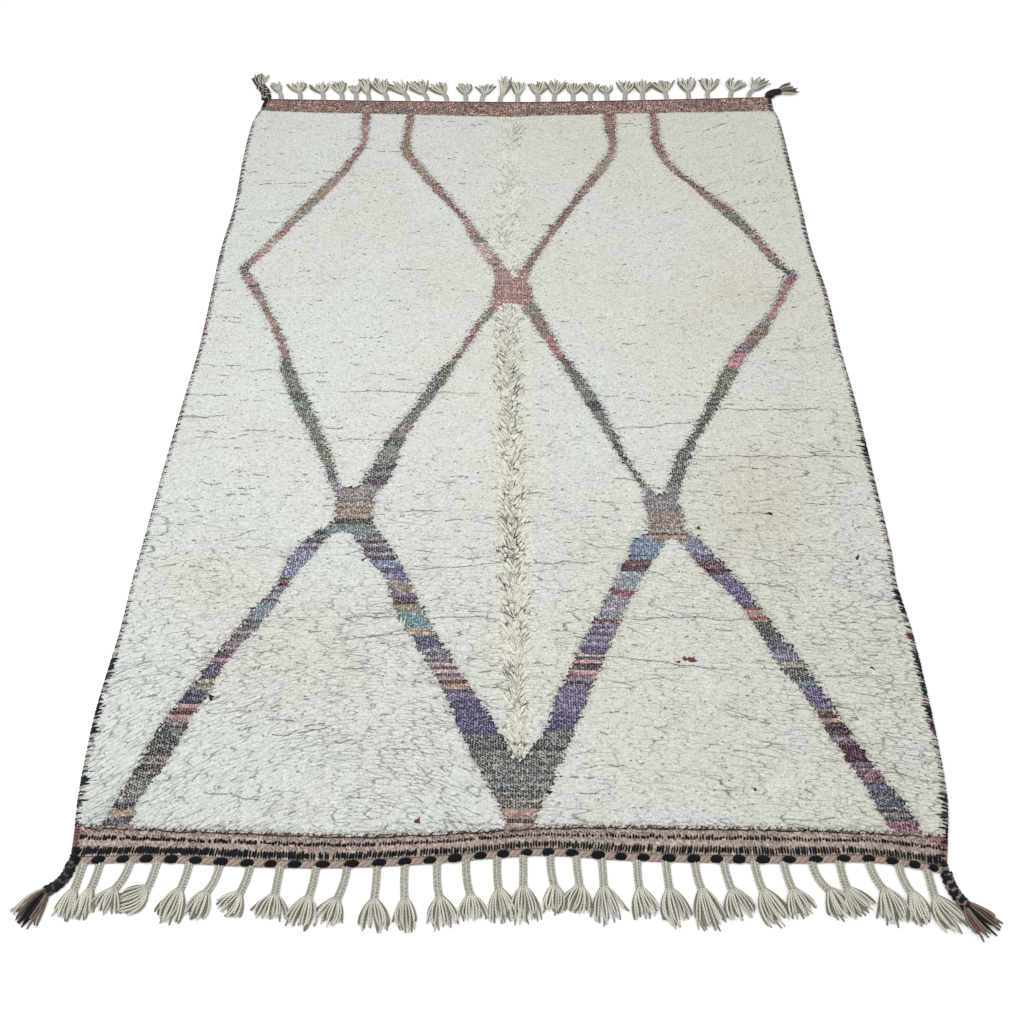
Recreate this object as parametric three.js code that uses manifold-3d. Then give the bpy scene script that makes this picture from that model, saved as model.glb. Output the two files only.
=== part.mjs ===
// Azilal rug: a hand-woven wool rug with cream pile panels between sunken flat-woven bands,
// overcast sides, and plaited tassels at both ends and at the corners.
//
// Millimetres. X runs across the rug, Y from its near end to its far end, Z up from the floor.
// The origin is the middle of the cloth's flat underside.

import * as THREE from 'three';
import Module from 'manifold-3d';

const wasm = await Module();
wasm.setup();

// Thickness of the cloth and its pile
const CLOTH_THICKNESS = 5;
const PILE_TOP = 16;
const PILE_LUMP = 1.6;
const PILE_INSET = 2;
const PILE_SLOPE = 0.45;
const PILE_GRID = 78;
const PILE_CELLS = { across: 11, along: 15 };
const PILE_FLOOR = 2;
const PILE_ABOVE = 26;
const PILE_SPANS = { side: 30, end: 16 };

// The pile's broad swells: their wave lengths over 2 pi, how far they bend, and their share of a lump
const SWELL = { across: 83, along: 61, drift: 190, bend: 1.3, share: 0.6 };

// The parting that runs down the middle of the pile
const PARTING_DEPTH = 3;
const PARTING_HALF_WIDTH = 20;
const PARTING = { atFarEnd: -47, atNearEnd: 22, farY: 1000, nearY: -950 };

// Flat-woven bands sunk between the pile panels
const BAND_FLOOR = 4;
const RIM_RAGGED = 8;

// Clear gap between two pieces that touch on the real rug
const SEAM = 0.3;

// How far apart the scatter's numbers start for two pieces of one kind
const SEED_STEP = 50;

// Overcast sides
const SELVEDGE_WIDTH = 9;
const SELVEDGE_HEIGHT = 8;
const SELVEDGE_LUMP = 1.2;
const SIDE_STATIONS = 52;
const SELVEDGE_ENDS = 1;
const SELVEDGE_PROFILE = [
  { out: 0, up: 0 },
  { out: 0.8, up: 0 },
  { out: 1, up: 0.42 },
  { out: 0.68, up: 0.92 },
  { out: 0.22, up: 1 },
  { out: 0, up: 0.7 },
];

// Twined edges that carry the tassels
const NEAR_EDGE = { width: 14, height: 7.5, lump: 2.4, twists: 35 };
const FAR_EDGE = { width: 8, height: 5.5, lump: 0.6, twists: 26 };
const EDGE_PROFILE = [
  { out: 0, up: 0 },
  { out: 1, up: 0 },
  { out: 0.89, up: 1 },
  { out: 0, up: 0.8 },
];

// A tassel is a flat plait and a few locks that fan out of its end
const PLAIT = { width: 15, height: 6, crossings: 2, waist: 0.8, topShare: 0.7, rooted: 6, rootDrop: 1 };
const NEAR_PLAIT_LENGTH = 46;
const FAR_PLAIT_LENGTH = 44;
const LOCK = {
  rooted: 2,
  rootShare: 0.7,
  bow: 6,
  middle: 8,
  tip: 6,
  rootHeight: 3.4,
  height: 4.8,
  tipHeight: 2.4,
};
const LOCKS_APART = 0.86;
const LOCK_UNEVEN = { least: 0.9, spread: 0.2, outer: 0.12 };
const ROOT_LIFT = 0.4;
const NEAR_LOCKS = 4;
const FAR_LOCKS = 3;
const CORNER_LOCKS = 4;
const CORNER_WRAP = { past: 4, back: 3 };

// Wool colours of the pieces, all of them matt
const WOOL = {
  rug_body: 0xe2e1d6,
  left_selvedge: 0x3a3f44,
  right_selvedge: 0x5a3a40,
  near_fringe: 0xd8cfc0,
  far_fringe: 0xdedccd,
  corners: 0x2c2430,
};
const WOOL_ROUGHNESS = 0.95;

// Where the two long sides lie, their overcast edges included
const SIDES = [
  { y: -1140, left: -776, right: 775 },
  { y: -1090, left: -782, right: 788 },
  { y: -1010, left: -792, right: 804 },
  { y: -860, left: -799, right: 811 },
  { y: -680, left: -792, right: 811 },
  { y: -570, left: -793, right: 803 },
  { y: -480, left: -791, right: 808 },
  { y: -280, left: -788, right: 808 },
  { y: -80, left: -782, right: 807 },
  { y: 110, left: -776, right: 800 },
  { y: 300, left: -780, right: 799 },
  { y: 460, left: -784, right: 786 },
  { y: 640, left: -778, right: 785 },
  { y: 830, left: -786, right: 782 },
  { y: 1010, left: -787, right: 779 },
  { y: 1080, left: -775, right: 770 },
  { y: 1140, left: -768, right: 770 },
];

// Where the cloth ends at each end of the rug, and where the pile starts behind the kilim bands
const ENDS = [
  { x: -770, nearEdge: -1133, nearPile: -1082, farPile: 1079, farEdge: 1138 },
  { x: -620, nearEdge: -1128, nearPile: -1090, farPile: 1069, farEdge: 1133 },
  { x: -430, nearEdge: -1136, nearPile: -1094, farPile: 1061, farEdge: 1127 },
  { x: -300, nearEdge: -1138, nearPile: -1097, farPile: 1055, farEdge: 1124 },
  { x: -140, nearEdge: -1130, nearPile: -1092, farPile: 1047, farEdge: 1120 },
  { x: -20, nearEdge: -1119, nearPile: -1085, farPile: 1045, farEdge: 1118 },
  { x: 80, nearEdge: -1114, nearPile: -1078, farPile: 1047, farEdge: 1118 },
  { x: 230, nearEdge: -1122, nearPile: -1077, farPile: 1053, farEdge: 1121 },
  { x: 500, nearEdge: -1124, nearPile: -1079, farPile: 1061, farEdge: 1129 },
  { x: 650, nearEdge: -1122, nearPile: -1084, farPile: 1064, farEdge: 1134 },
  { x: 770, nearEdge: -1140, nearPile: -1089, farPile: 1066, farEdge: 1138 },
];

// The lattice: the middle and the width, along X, of each flat-woven band at each row Y
const BANDS = {
  outerLeft: [
    { y: 1100, x: -447, width: 34 },
    { y: 1000, x: -447, width: 27 },
    { y: 912, x: -443, width: 24 },
    { y: 806, x: -480, width: 30 },
    { y: 705, x: -530, width: 40 },
    { y: 628, x: -574, width: 38 },
    { y: 525, x: -627, width: 31 },
    { y: 433, x: -677, width: 36 },
    { y: 386, x: -706, width: 35 },
    { y: 362, x: -700, width: 30 },
    { y: 319, x: -674, width: 37 },
    { y: 235, x: -628, width: 25 },
    { y: 148, x: -585, width: 27 },
    { y: 95, x: -564, width: 24 },
    { y: 17, x: -541, width: 39 },
    { y: -88, x: -493, width: 45 },
    { y: -176, x: -450, width: 38 },
    { y: -240, x: -421, width: 32 },
    { y: -330, x: -385, width: 24 },
    { y: -360, x: -365, width: 30 },
  ],
  innerLeftFar: [
    { y: 1090, x: -311, width: 27 },
    { y: 960, x: -319, width: 27 },
    { y: 890, x: -318, width: 35 },
    { y: 842, x: -301, width: 35 },
    { y: 726, x: -230, width: 37 },
    { y: 631, x: -171, width: 29 },
    { y: 568, x: -130, width: 24 },
    { y: 500, x: -102, width: 38 },
    { y: 401, x: -49, width: 39 },
    { y: 350, x: -27, width: 49 },
    { y: 322, x: -20, width: 52 },
  ],
  innerRightFar: [
    { y: 1090, x: 277, width: 42 },
    { y: 966, x: 277, width: 36 },
    { y: 895, x: 281, width: 24 },
    { y: 849, x: 268, width: 29 },
    { y: 790, x: 241, width: 37 },
    { y: 655, x: 168, width: 29 },
    { y: 547, x: 111, width: 27 },
    { y: 436, x: 57, width: 27 },
    { y: 382, x: 33, width: 32 },
    { y: 322, x: 12, width: 46 },
  ],
  middleNode: [
    { y: 350, x: -8, width: 60 },
    { y: 322, x: -4, width: 95 },
    { y: 278, x: -3, width: 105 },
    { y: 250, x: -2, width: 112 },
  ],
  innerLeftNear: [
    { y: 262, x: -40, width: 36 },
    { y: 224, x: -58, width: 25 },
    { y: 178, x: -84, width: 25 },
    { y: 76, x: -131, width: 20 },
    { y: 1, x: -171, width: 40 },
    { y: -96, x: -219, width: 34 },
    { y: -186, x: -264, width: 46 },
    { y: -290, x: -295, width: 60 },
    { y: -350, x: -325, width: 50 },
  ],
  innerRightNear: [
    { y: 262, x: 30, width: 44 },
    { y: 185, x: 65, width: 43 },
    { y: 96, x: 103, width: 30 },
    { y: 47, x: 130, width: 31 },
    { y: -68, x: 185, width: 42 },
    { y: -165, x: 225, width: 30 },
    { y: -246, x: 255, width: 20 },
    { y: -327, x: 297, width: 20 },
    { y: -360, x: 312, width: 34 },
  ],
  outerRight: [
    { y: 1100, x: 406, width: 30 },
    { y: 980, x: 408, width: 29 },
    { y: 900, x: 409, width: 32 },
    { y: 803, x: 439, width: 29 },
    { y: 714, x: 501, width: 30 },
    { y: 612, x: 574, width: 48 },
    { y: 509, x: 636, width: 35 },
    { y: 396, x: 687, width: 34 },
    { y: 352, x: 719, width: 32 },
    { y: 334, x: 708, width: 36 },
    { y: 238, x: 661, width: 25 },
    { y: 140, x: 599, width: 48 },
    { y: 73, x: 550, width: 43 },
    { y: -33, x: 495, width: 42 },
    { y: -117, x: 454, width: 32 },
    { y: -191, x: 413, width: 26 },
    { y: -240, x: 388, width: 38 },
    { y: -332, x: 358, width: 32 },
    { y: -360, x: 352, width: 34 },
  ],
  leftNode: [
    { y: -322, x: -350, width: 50 },
    { y: -342, x: -345, width: 82 },
    { y: -380, x: -342, width: 85 },
    { y: -415, x: -343, width: 88 },
    { y: -449, x: -351, width: 140 },
  ],
  rightNode: [
    { y: -340, x: 329, width: 50 },
    { y: -357, x: 329, width: 75 },
    { y: -405, x: 337, width: 78 },
    { y: -431, x: 337, width: 76 },
    { y: -463, x: 339, width: 128 },
  ],
  outerLeftNear: [
    { y: -440, x: -400, width: 34 },
    { y: -497, x: -439, width: 44 },
    { y: -572, x: -472, width: 26 },
    { y: -662, x: -521, width: 40 },
    { y: -750, x: -575, width: 33 },
    { y: -834, x: -612, width: 44 },
    { y: -884, x: -636, width: 50 },
    { y: -968, x: -665, width: 52 },
    { y: -1035, x: -694, width: 40 },
    { y: -1115, x: -712, width: 62 },
  ],
  innerLeftEnd: [
    { y: -440, x: -314, width: 61 },
    { y: -504, x: -274, width: 62 },
    { y: -561, x: -235, width: 46 },
    { y: -649, x: -199, width: 56 },
    { y: -730, x: -149, width: 52 },
    { y: -818, x: -96, width: 58 },
    { y: -893, x: -55, width: 72 },
    { y: -965, x: -18, width: 76 },
  ],
  innerRightEnd: [
    { y: -455, x: 303, width: 70 },
    { y: -532, x: 263, width: 57 },
    { y: -628, x: 213, width: 51 },
    { y: -722, x: 170, width: 57 },
    { y: -817, x: 127, width: 62 },
    { y: -892, x: 99, width: 56 },
    { y: -965, x: 60, width: 74 },
  ],
  outerRightNear: [
    { y: -455, x: 376, width: 42 },
    { y: -529, x: 427, width: 52 },
    { y: -611, x: 484, width: 40 },
    { y: -696, x: 529, width: 38 },
    { y: -755, x: 557, width: 56 },
    { y: -810, x: 590, width: 38 },
    { y: -914, x: 643, width: 43 },
    { y: -991, x: 683, width: 46 },
    { y: -1047, x: 705, width: 57 },
    { y: -1115, x: 730, width: 44 },
  ],
  nearStem: [
    { y: -950, x: 20, width: 160 },
    { y: -1009, x: 21, width: 112 },
    { y: -1057, x: 22, width: 70 },
    { y: -1115, x: 25, width: 62 },
  ],
};

// Near tassels: root along the edge, how far the plait's end and the fan's tip drift along X,
// how far the tip reaches from the edge, and the width of the fan
const NEAR_TASSELS = [
  { x: -751, plait: -6, tip: -12, reach: 93, spread: 30 },
  { x: -721, plait: -8, tip: -10, reach: 90, spread: 24 },
  { x: -668, plait: -18, tip: -22, reach: 78, spread: 50 },
  { x: -620, plait: -4, tip: -19, reach: 81, spread: 44 },
  { x: -562, plait: -7, tip: -15, reach: 98, spread: 42 },
  { x: -508, plait: -15, tip: -23, reach: 90, spread: 36 },
  { x: -453, plait: -13, tip: -33, reach: 78, spread: 42 },
  { x: -400, plait: -3, tip: -8, reach: 88, spread: 52 },
  { x: -336, plait: -8, tip: -19, reach: 101, spread: 48 },
  { x: -281, plait: -14, tip: -27, reach: 93, spread: 42 },
  { x: -228, plait: -1, tip: 4, reach: 108, spread: 46 },
  { x: -179, plait: 4, tip: 8, reach: 109, spread: 38 },
  { x: -122, plait: 8, tip: 16, reach: 106, spread: 46 },
  { x: -71, plait: 11, tip: 14, reach: 101, spread: 44 },
  { x: -16, plait: 4, tip: 15, reach: 103, spread: 42 },
  { x: 30, plait: 0, tip: 3, reach: 110, spread: 46 },
  { x: 78, plait: 8, tip: 2, reach: 97, spread: 36 },
  { x: 124, plait: 6, tip: -6, reach: 90, spread: 44 },
  { x: 169, plait: 2, tip: 11, reach: 104, spread: 46 },
  { x: 231, plait: 2, tip: 16, reach: 92, spread: 38 },
  { x: 282, plait: 3, tip: 13, reach: 105, spread: 46 },
  { x: 333, plait: 9, tip: 21, reach: 110, spread: 42 },
  { x: 384, plait: 11, tip: 25, reach: 91, spread: 48 },
  { x: 438, plait: 10, tip: 32, reach: 100, spread: 42 },
  { x: 489, plait: 11, tip: 24, reach: 87, spread: 44 },
  { x: 539, plait: 27, tip: 44, reach: 89, spread: 44 },
  { x: 588, plait: 7, tip: 29, reach: 84, spread: 40 },
  { x: 639, plait: 20, tip: 30, reach: 100, spread: 46 },
  { x: 690, plait: 15, tip: 19, reach: 94, spread: 32 },
  { x: 741, plait: -2, tip: 8, reach: 92, spread: 40 },
];

// Far tassels, with the same columns
const FAR_TASSELS = [
  { x: -718, plait: -14, tip: -32, reach: 80, spread: 20 },
  { x: -660, plait: -9, tip: -22, reach: 86, spread: 44 },
  { x: -589, plait: -9, tip: -23, reach: 87, spread: 44 },
  { x: -531, plait: -9, tip: -22, reach: 94, spread: 36 },
  { x: -488, plait: -5, tip: -13, reach: 76, spread: 26 },
  { x: -449, plait: -10, tip: -26, reach: 111, spread: 26 },
  { x: -394, plait: -15, tip: -37, reach: 112, spread: 40 },
  { x: -330, plait: -19, tip: -47, reach: 93, spread: 42 },
  { x: -272, plait: -16, tip: -40, reach: 99, spread: 44 },
  { x: -211, plait: -15, tip: -38, reach: 90, spread: 42 },
  { x: -153, plait: -4, tip: -11, reach: 90, spread: 36 },
  { x: -105, plait: 8, tip: 12, reach: 86, spread: 36 },
  { x: -50, plait: 8, tip: 18, reach: 122, spread: 22 },
  { x: 4, plait: 0, tip: -1, reach: 98, spread: 30 },
  { x: 65, plait: 0, tip: 0, reach: 97, spread: 38 },
  { x: 113, plait: 4, tip: 10, reach: 112, spread: 40 },
  { x: 171, plait: 2, tip: 4, reach: 90, spread: 38 },
  { x: 225, plait: -2, tip: -4, reach: 89, spread: 36 },
  { x: 274, plait: -1, tip: -3, reach: 76, spread: 36 },
  { x: 328, plait: 4, tip: 8, reach: 97, spread: 38 },
  { x: 382, plait: 1, tip: 3, reach: 96, spread: 40 },
  { x: 455, plait: -5, tip: -13, reach: 94, spread: 44 },
  { x: 521, plait: 1, tip: 2, reach: 109, spread: 40 },
  { x: 579, plait: 6, tip: 15, reach: 107, spread: 40 },
  { x: 648, plait: 10, tip: 26, reach: 95, spread: 44 },
  { x: 703, plait: 22, tip: 50, reach: 96, spread: 38 },
];

// Corner tassels: where the plait ends, where the middle of the fan's tip is, and the fan's width
const CORNERS = {
  corner_near_left: {
    side: 'left', end: 'near', plaitX: -806, plaitY: -1196, tipX: -838, tipY: -1247, spread: 52,
  },
  corner_near_right: {
    side: 'right', end: 'near', plaitX: 794, plaitY: -1208, tipX: 826, tipY: -1250, spread: 50,
  },
  corner_far_left: {
    side: 'left', end: 'far', plaitX: -785, plaitY: 1196, tipX: -806, tipY: 1258, spread: 46,
  },
  corner_far_right: {
    side: 'right', end: 'far', plaitX: 806, plaitY: 1172, tipX: 848, tipY: 1186, spread: 52,
  },
};

// A repeatable scatter between 0 and 1 for whole number n
function scatter(n) {
  const wave = Math.sin(n * 12.9898 + 4.137) * 43758.5453;
  return wave - Math.floor(wave);
}

// A column of a table at any place: a smooth cubic through its rows, held level past its ends
function across(table, along, column, place) {
  const rows = [...table].sort((a, b) => a[along] - b[along]);
  const last = rows.length - 1;
  if (place <= rows[0][along]) return rows[0][column];
  if (place >= rows[last][along]) return rows[last][column];
  const i = rows.findIndex((row, k) => k < last && place <= rows[k + 1][along]);
  const [p0, p1, p2, p3] = [Math.max(i - 1, 0), i, i + 1, Math.min(i + 2, last)].map((k) => rows[k]);
  const step = p2[along] - p1[along];
  const t = (place - p1[along]) / step;
  const slope = (a, b) => ((b[column] - a[column]) / (b[along] - a[along])) * step;
  const m1 = slope(p0, p2);
  const m2 = slope(p1, p3);
  return (
    p1[column] * (2 * t ** 3 - 3 * t ** 2 + 1) +
    m1 * (t ** 3 - 2 * t ** 2 + t) +
    p2[column] * (3 * t ** 2 - 2 * t ** 3) +
    m2 * (t ** 3 - t ** 2)
  );
}

// The cloth's own side, without its overcast edge, at row y
function clothSide(side, y) {
  const inwards = side === 'left' ? 1 : -1;
  return across(SIDES, 'y', side, y) + inwards * SELVEDGE_WIDTH;
}

// Triangles of a closed body as indices, turned so that they face outwards
function outwards(points, faces) {
  let volume = 0;
  for (let i = 0; i < faces.length; i += 3) {
    const [a, b, c] = [points[faces[i]], points[faces[i + 1]], points[faces[i + 2]]];
    volume += a.dot(new THREE.Vector3().crossVectors(b, c));
  }
  return volume < 0 ? faces.reverse() : faces;
}

// A closed solid through rings of equally many points, with flat caps on the first and the last
function loft(rings) {
  const size = rings[0].length;
  const points = rings.flat();
  const faces = [];
  for (let r = 0; r < rings.length - 1; r += 1) {
    for (let k = 0; k < size; k += 1) {
      const [a, b] = [r * size + k, r * size + ((k + 1) % size)];
      faces.push(a, b, b + size, a, b + size, a + size);
    }
  }
  for (const [first, turned] of [[0, true], [(rings.length - 1) * size, false]]) {
    const centre = points.length;
    const wide = size > 6;
    if (wide) {
      const middle = new THREE.Vector3();
      points.slice(first, first + size).forEach((p) => middle.add(p));
      points.push(middle.divideScalar(size));
    }
    for (let k = wide ? 0 : 1; k < (wide ? size : size - 1); k += 1) {
      const [hub, a, b] = [wide ? centre : first, first + k, first + ((k + 1) % size)];
      faces.push(...(turned ? [hub, b, a] : [hub, a, b]));
    }
  }
  return solid(points, faces);
}

// Points and faces as a solid that can be joined and cut
function solid(points, faces) {
  return new wasm.Manifold(
    new wasm.Mesh({
      numProp: 3,
      vertProperties: new Float32Array(points.flatMap((p) => p.toArray())),
      triVerts: new Uint32Array(outwards(points, faces)),
    }),
  );
}

function join(solids) {
  return solids.reduce((whole, piece) => whole.add(piece));
}

// A named mesh in its own wool from a finished solid
function piece(name, body, colour) {
  const { numProp, vertProperties, triVerts } = body.getMesh();
  const geometry = new THREE.BufferGeometry();
  const places = new Float32Array((vertProperties.length / numProp) * 3);
  for (let i = 0; i < places.length / 3; i += 1) {
    for (let k = 0; k < 3; k += 1) places[i * 3 + k] = vertProperties[i * numProp + k];
  }
  geometry.setAttribute('position', new THREE.BufferAttribute(places, 3));
  geometry.setIndex(new THREE.BufferAttribute(new Uint32Array(triVerts), 1));
  geometry.computeVertexNormals();
  const material = new THREE.MeshStandardMaterial({ color: colour, roughness: WOOL_ROUGHNESS, metalness: 0 });
  const mesh = new THREE.Mesh(geometry, material);
  mesh.name = name;
  return mesh;
}

// Rows along one side of an outline between the two ends that the named columns give
function sideRows(side, nearColumn, farColumn, spans = SIDE_STATIONS) {
  const x = across(SIDES, 'y', side, 0);
  const near = across(ENDS, 'x', nearColumn, x);
  const far = across(ENDS, 'x', farColumn, x);
  return Array.from({ length: spans + 1 }, (_, k) => {
    const y = THREE.MathUtils.lerp(near, far, k / spans);
    return new THREE.Vector2(clothSide(side, y), y);
  });
}

// Places along one end of an outline, from its left corner to its right one
function endPlaces(column, left, right, spans) {
  const between = Array.from({ length: spans - 1 }, (_, k) => {
    const x = THREE.MathUtils.lerp(left.x, right.x, (k + 1) / spans);
    return new THREE.Vector2(x, across(ENDS, 'x', column, x));
  });
  return [left, ...between, right];
}

// The ring round the cloth, or round its pile, at height z and drawn in by inset on all sides
function outline({ near, far, sideSpans, nearSpans, farSpans }, inset, z) {
  const left = sideRows('left', near, far, sideSpans);
  const right = sideRows('right', near, far, sideSpans);
  const nearEnd = endPlaces(near, left[0], right[0], nearSpans);
  const farEnd = endPlaces(far, left.at(-1), right.at(-1), farSpans);
  const at = (p, dx, dy) => new THREE.Vector3(p.x + dx * inset, p.y + dy * inset, z);
  return [
    ...right.map((p, k) => at(p, -1, k === 0 ? 1 : k === sideSpans ? -1 : 0)),
    ...farEnd.slice(1, -1).reverse().map((p) => at(p, 0, -1)),
    ...left.reverse().map((p, k) => at(p, 1, k === 0 ? -1 : k === sideSpans ? 1 : 0)),
    ...nearEnd.slice(1, -1).map((p) => at(p, 0, 1)),
  ];
}

// The parting's place along X at row y
function partingAt(y) {
  const t = THREE.MathUtils.clamp((y - PARTING.nearY) / (PARTING.farY - PARTING.nearY), 0, 1);
  return THREE.MathUtils.lerp(PARTING.atNearEnd, PARTING.atFarEnd, t);
}

// Height of the pile: broad swells along the rows, a lump at each grid point, and the parting
function pileHeight(x, y, n) {
  const bend = SWELL.bend * Math.sin(y / SWELL.drift);
  const swell = Math.sin(x / SWELL.across + bend) * Math.cos(y / SWELL.along);
  const lump = THREE.MathUtils.lerp(2 * scatter(n) - 1, swell, SWELL.share);
  const groove = Math.exp(-(((x - partingAt(y)) / PARTING_HALF_WIDTH) ** 2));
  return PILE_TOP + PILE_LUMP * lump - PARTING_DEPTH * groove;
}

// A slab whose top carries the pile's lumps on a grid that follows the parting
function pileSlab() {
  const lines = (cells) => Array.from({ length: 2 * cells + 1 }, (_, k) => (k - cells) * PILE_GRID);
  const columns = [...lines(PILE_CELLS.across), -PARTING_HALF_WIDTH, PARTING_HALF_WIDTH];
  columns.sort((a, b) => a - b);
  const rows = lines(PILE_CELLS.along);
  const [wide, long] = [columns.length, rows.length];
  const points = [];
  for (const top of [true, false]) {
    rows.forEach((y, j) => {
      columns.forEach((column, i) => {
        const x = column + partingAt(y);
        const z = top ? pileHeight(x, y, j * wide + i) : PILE_FLOOR;
        points.push(new THREE.Vector3(x, y, z));
      });
    });
  }
  const under = wide * long;
  const faces = [];
  const quad = (a, b, c, d) => faces.push(a, b, c, a, c, d);
  for (let j = 0; j < long - 1; j += 1) {
    for (let i = 0; i < wide - 1; i += 1) {
      const a = j * wide + i;
      quad(a, a + 1, a + wide + 1, a + wide);
      quad(under + a, under + a + wide, under + a + wide + 1, under + a + 1);
    }
  }
  for (let i = 0; i < wide - 1; i += 1) {
    const last = (long - 1) * wide + i;
    quad(i, under + i, under + i + 1, i + 1);
    quad(last, last + 1, under + last + 1, under + last);
  }
  for (let j = 0; j < long - 1; j += 1) {
    const [left, right] = [j * wide, j * wide + wide - 1];
    quad(left, left + wide, under + left + wide, under + left);
    quad(right, under + right, under + right + wide, right + wide);
  }
  return solid(points, faces);
}

// What a flat-woven band takes out of the pile: a trough that opens upwards, with ragged rims
function trough(rows, seed) {
  const depth = PILE_ABOVE - BAND_FLOOR;
  return loft(
    rows.map(({ y, x, width }, k) => {
      const left = x - width / 2 - RIM_RAGGED * scatter(seed + 2 * k) + RIM_RAGGED / 2;
      const right = x + width / 2 + RIM_RAGGED * scatter(seed + 2 * k + 1) - RIM_RAGGED / 2;
      const flare = PILE_SLOPE * depth;
      return [
        new THREE.Vector3(left, y, BAND_FLOOR),
        new THREE.Vector3(right, y, BAND_FLOOR),
        new THREE.Vector3(right + flare, y, PILE_ABOVE),
        new THREE.Vector3(left - flare, y, PILE_ABOVE),
      ];
    }),
  );
}

function rugBody() {
  const clothEdge = {
    near: 'nearEdge',
    far: 'farEdge',
    sideSpans: SIDE_STATIONS,
    nearSpans: 2 * NEAR_EDGE.twists,
    farSpans: 2 * FAR_EDGE.twists,
  };
  const pileEdge = {
    near: 'nearPile',
    far: 'farPile',
    sideSpans: PILE_SPANS.side,
    nearSpans: PILE_SPANS.end,
    farSpans: PILE_SPANS.end,
  };
  const cloth = loft([outline(clothEdge, 0, 0), outline(clothEdge, 0, CLOTH_THICKNESS)]);
  const rim = PILE_INSET + PILE_SLOPE * (PILE_ABOVE - BAND_FLOOR);
  const rimmed = loft([outline(pileEdge, PILE_INSET, BAND_FLOOR - 1), outline(pileEdge, rim, PILE_ABOVE)]);
  let pile = pileSlab().intersect(rimmed);
  Object.values(BANDS).forEach((rows, n) => {
    pile = pile.subtract(trough(rows, SEED_STEP * n));
  });
  return cloth.add(pile);
}

// Yarn wrapped round a side: a flat-bottomed bead whose outside swells at every other row
function selvedge(side) {
  const out = side === 'left' ? -1 : 1;
  const rows = sideRows(side, 'nearEdge', 'farEdge').slice(SELVEDGE_ENDS, -SELVEDGE_ENDS);
  return loft(
    rows.map((p, k) => {
      const lump = SELVEDGE_LUMP * ((k % 2) - scatter(k + (out > 0 ? rows.length : 0)) / 2);
      const wide = SELVEDGE_WIDTH - SELVEDGE_LUMP + lump;
      const high = SELVEDGE_HEIGHT - SELVEDGE_LUMP + lump;
      const across = ({ out: share, up }) =>
        new THREE.Vector3(p.x + out * THREE.MathUtils.lerp(SEAM, wide, share), p.y, up * high);
      return SELVEDGE_PROFILE.map(across);
    }),
  );
}

// A flat plait on the floor between two places, with a waist between its crossings
function plait(from, to, rooted) {
  const along = new THREE.Vector2().subVectors(to, from).normalize();
  const aside = new THREE.Vector2(-along.y, along.x);
  const start = from.clone().addScaledVector(along, -rooted);
  const spans = 2 * PLAIT.crossings;
  return loft(
    Array.from({ length: spans + 1 }, (_, k) => {
      const p = start.clone().lerp(to, k / spans);
      const size = k % 2 ? 1 : PLAIT.waist;
      const half = (PLAIT.width * size) / 2;
      const top = half * PLAIT.topShare;
      const low = k === 0 ? ROOT_LIFT : 0;
      const high = (PLAIT.height - (k === 0 ? PLAIT.rootDrop : 0)) * size;
      const at = (across, z) => new THREE.Vector3(p.x + aside.x * across, p.y + aside.y * across, z);
      return [at(-half, low), at(half, low), at(top, high), at(-top, high)];
    }),
  );
}

// One lock of loose yarn: three sides, flat on the floor, bowed and swelling a little, thin at its tip
function lock(from, to, aside, widths, bow) {
  const stations = [
    { t: 0, width: widths.root, low: ROOT_LIFT, high: LOCK.rootHeight },
    { t: 0.5, width: widths.middle, low: 0, high: LOCK.height },
    { t: 1, width: widths.tip, low: 0, high: LOCK.tipHeight },
  ];
  return loft(
    stations.map(({ t, width, low, high }) => {
      const p = from.clone().lerp(to, t).addScaledVector(aside, bow * 4 * t * (1 - t));
      const half = width / 2;
      const at = (across, z) => new THREE.Vector3(p.x + aside.x * across, p.y + aside.y * across, z);
      return [at(-half, low), at(half, low), at(0, high)];
    }),
  );
}

// A tassel: a plait from its root to its end, and locks that fan from there to the tip line
function tassel(root, plaitEnd, tip, spread, locks, rooted, seed) {
  const along = new THREE.Vector2().subVectors(tip, plaitEnd);
  const inwards = new THREE.Vector2().subVectors(root, plaitEnd).normalize();
  const aside = new THREE.Vector2(inwards.y, -inwards.x);
  const pitch = (PLAIT.width * PLAIT.waist * LOCK.rootShare) / locks;
  const tipPitch = spread / (locks - 1);
  const middlePitch = (pitch + tipPitch) / 2 + LOCK.bow / (locks - 1);
  const widths = {
    root: pitch * LOCKS_APART,
    middle: Math.min(LOCK.middle, middlePitch * LOCKS_APART),
    tip: Math.min(LOCK.tip, tipPitch * LOCKS_APART),
  };
  const solids = [plait(root, plaitEnd, rooted)];
  for (let k = 0; k < locks; k += 1) {
    const part = k / (locks - 1) - 0.5;
    const start = part * pitch * (locks - 1);
    const from = plaitEnd.clone().addScaledVector(inwards, LOCK.rooted).addScaledVector(aside, start);
    const uneven = LOCK_UNEVEN.spread * scatter(seed + k) - LOCK_UNEVEN.outer * Math.abs(part);
    const length = LOCK_UNEVEN.least + uneven;
    const to = plaitEnd.clone().addScaledVector(along, length).addScaledVector(aside, part * spread);
    solids.push(lock(from, to, aside, widths, part * LOCK.bow));
  }
  return join(solids);
}

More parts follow.
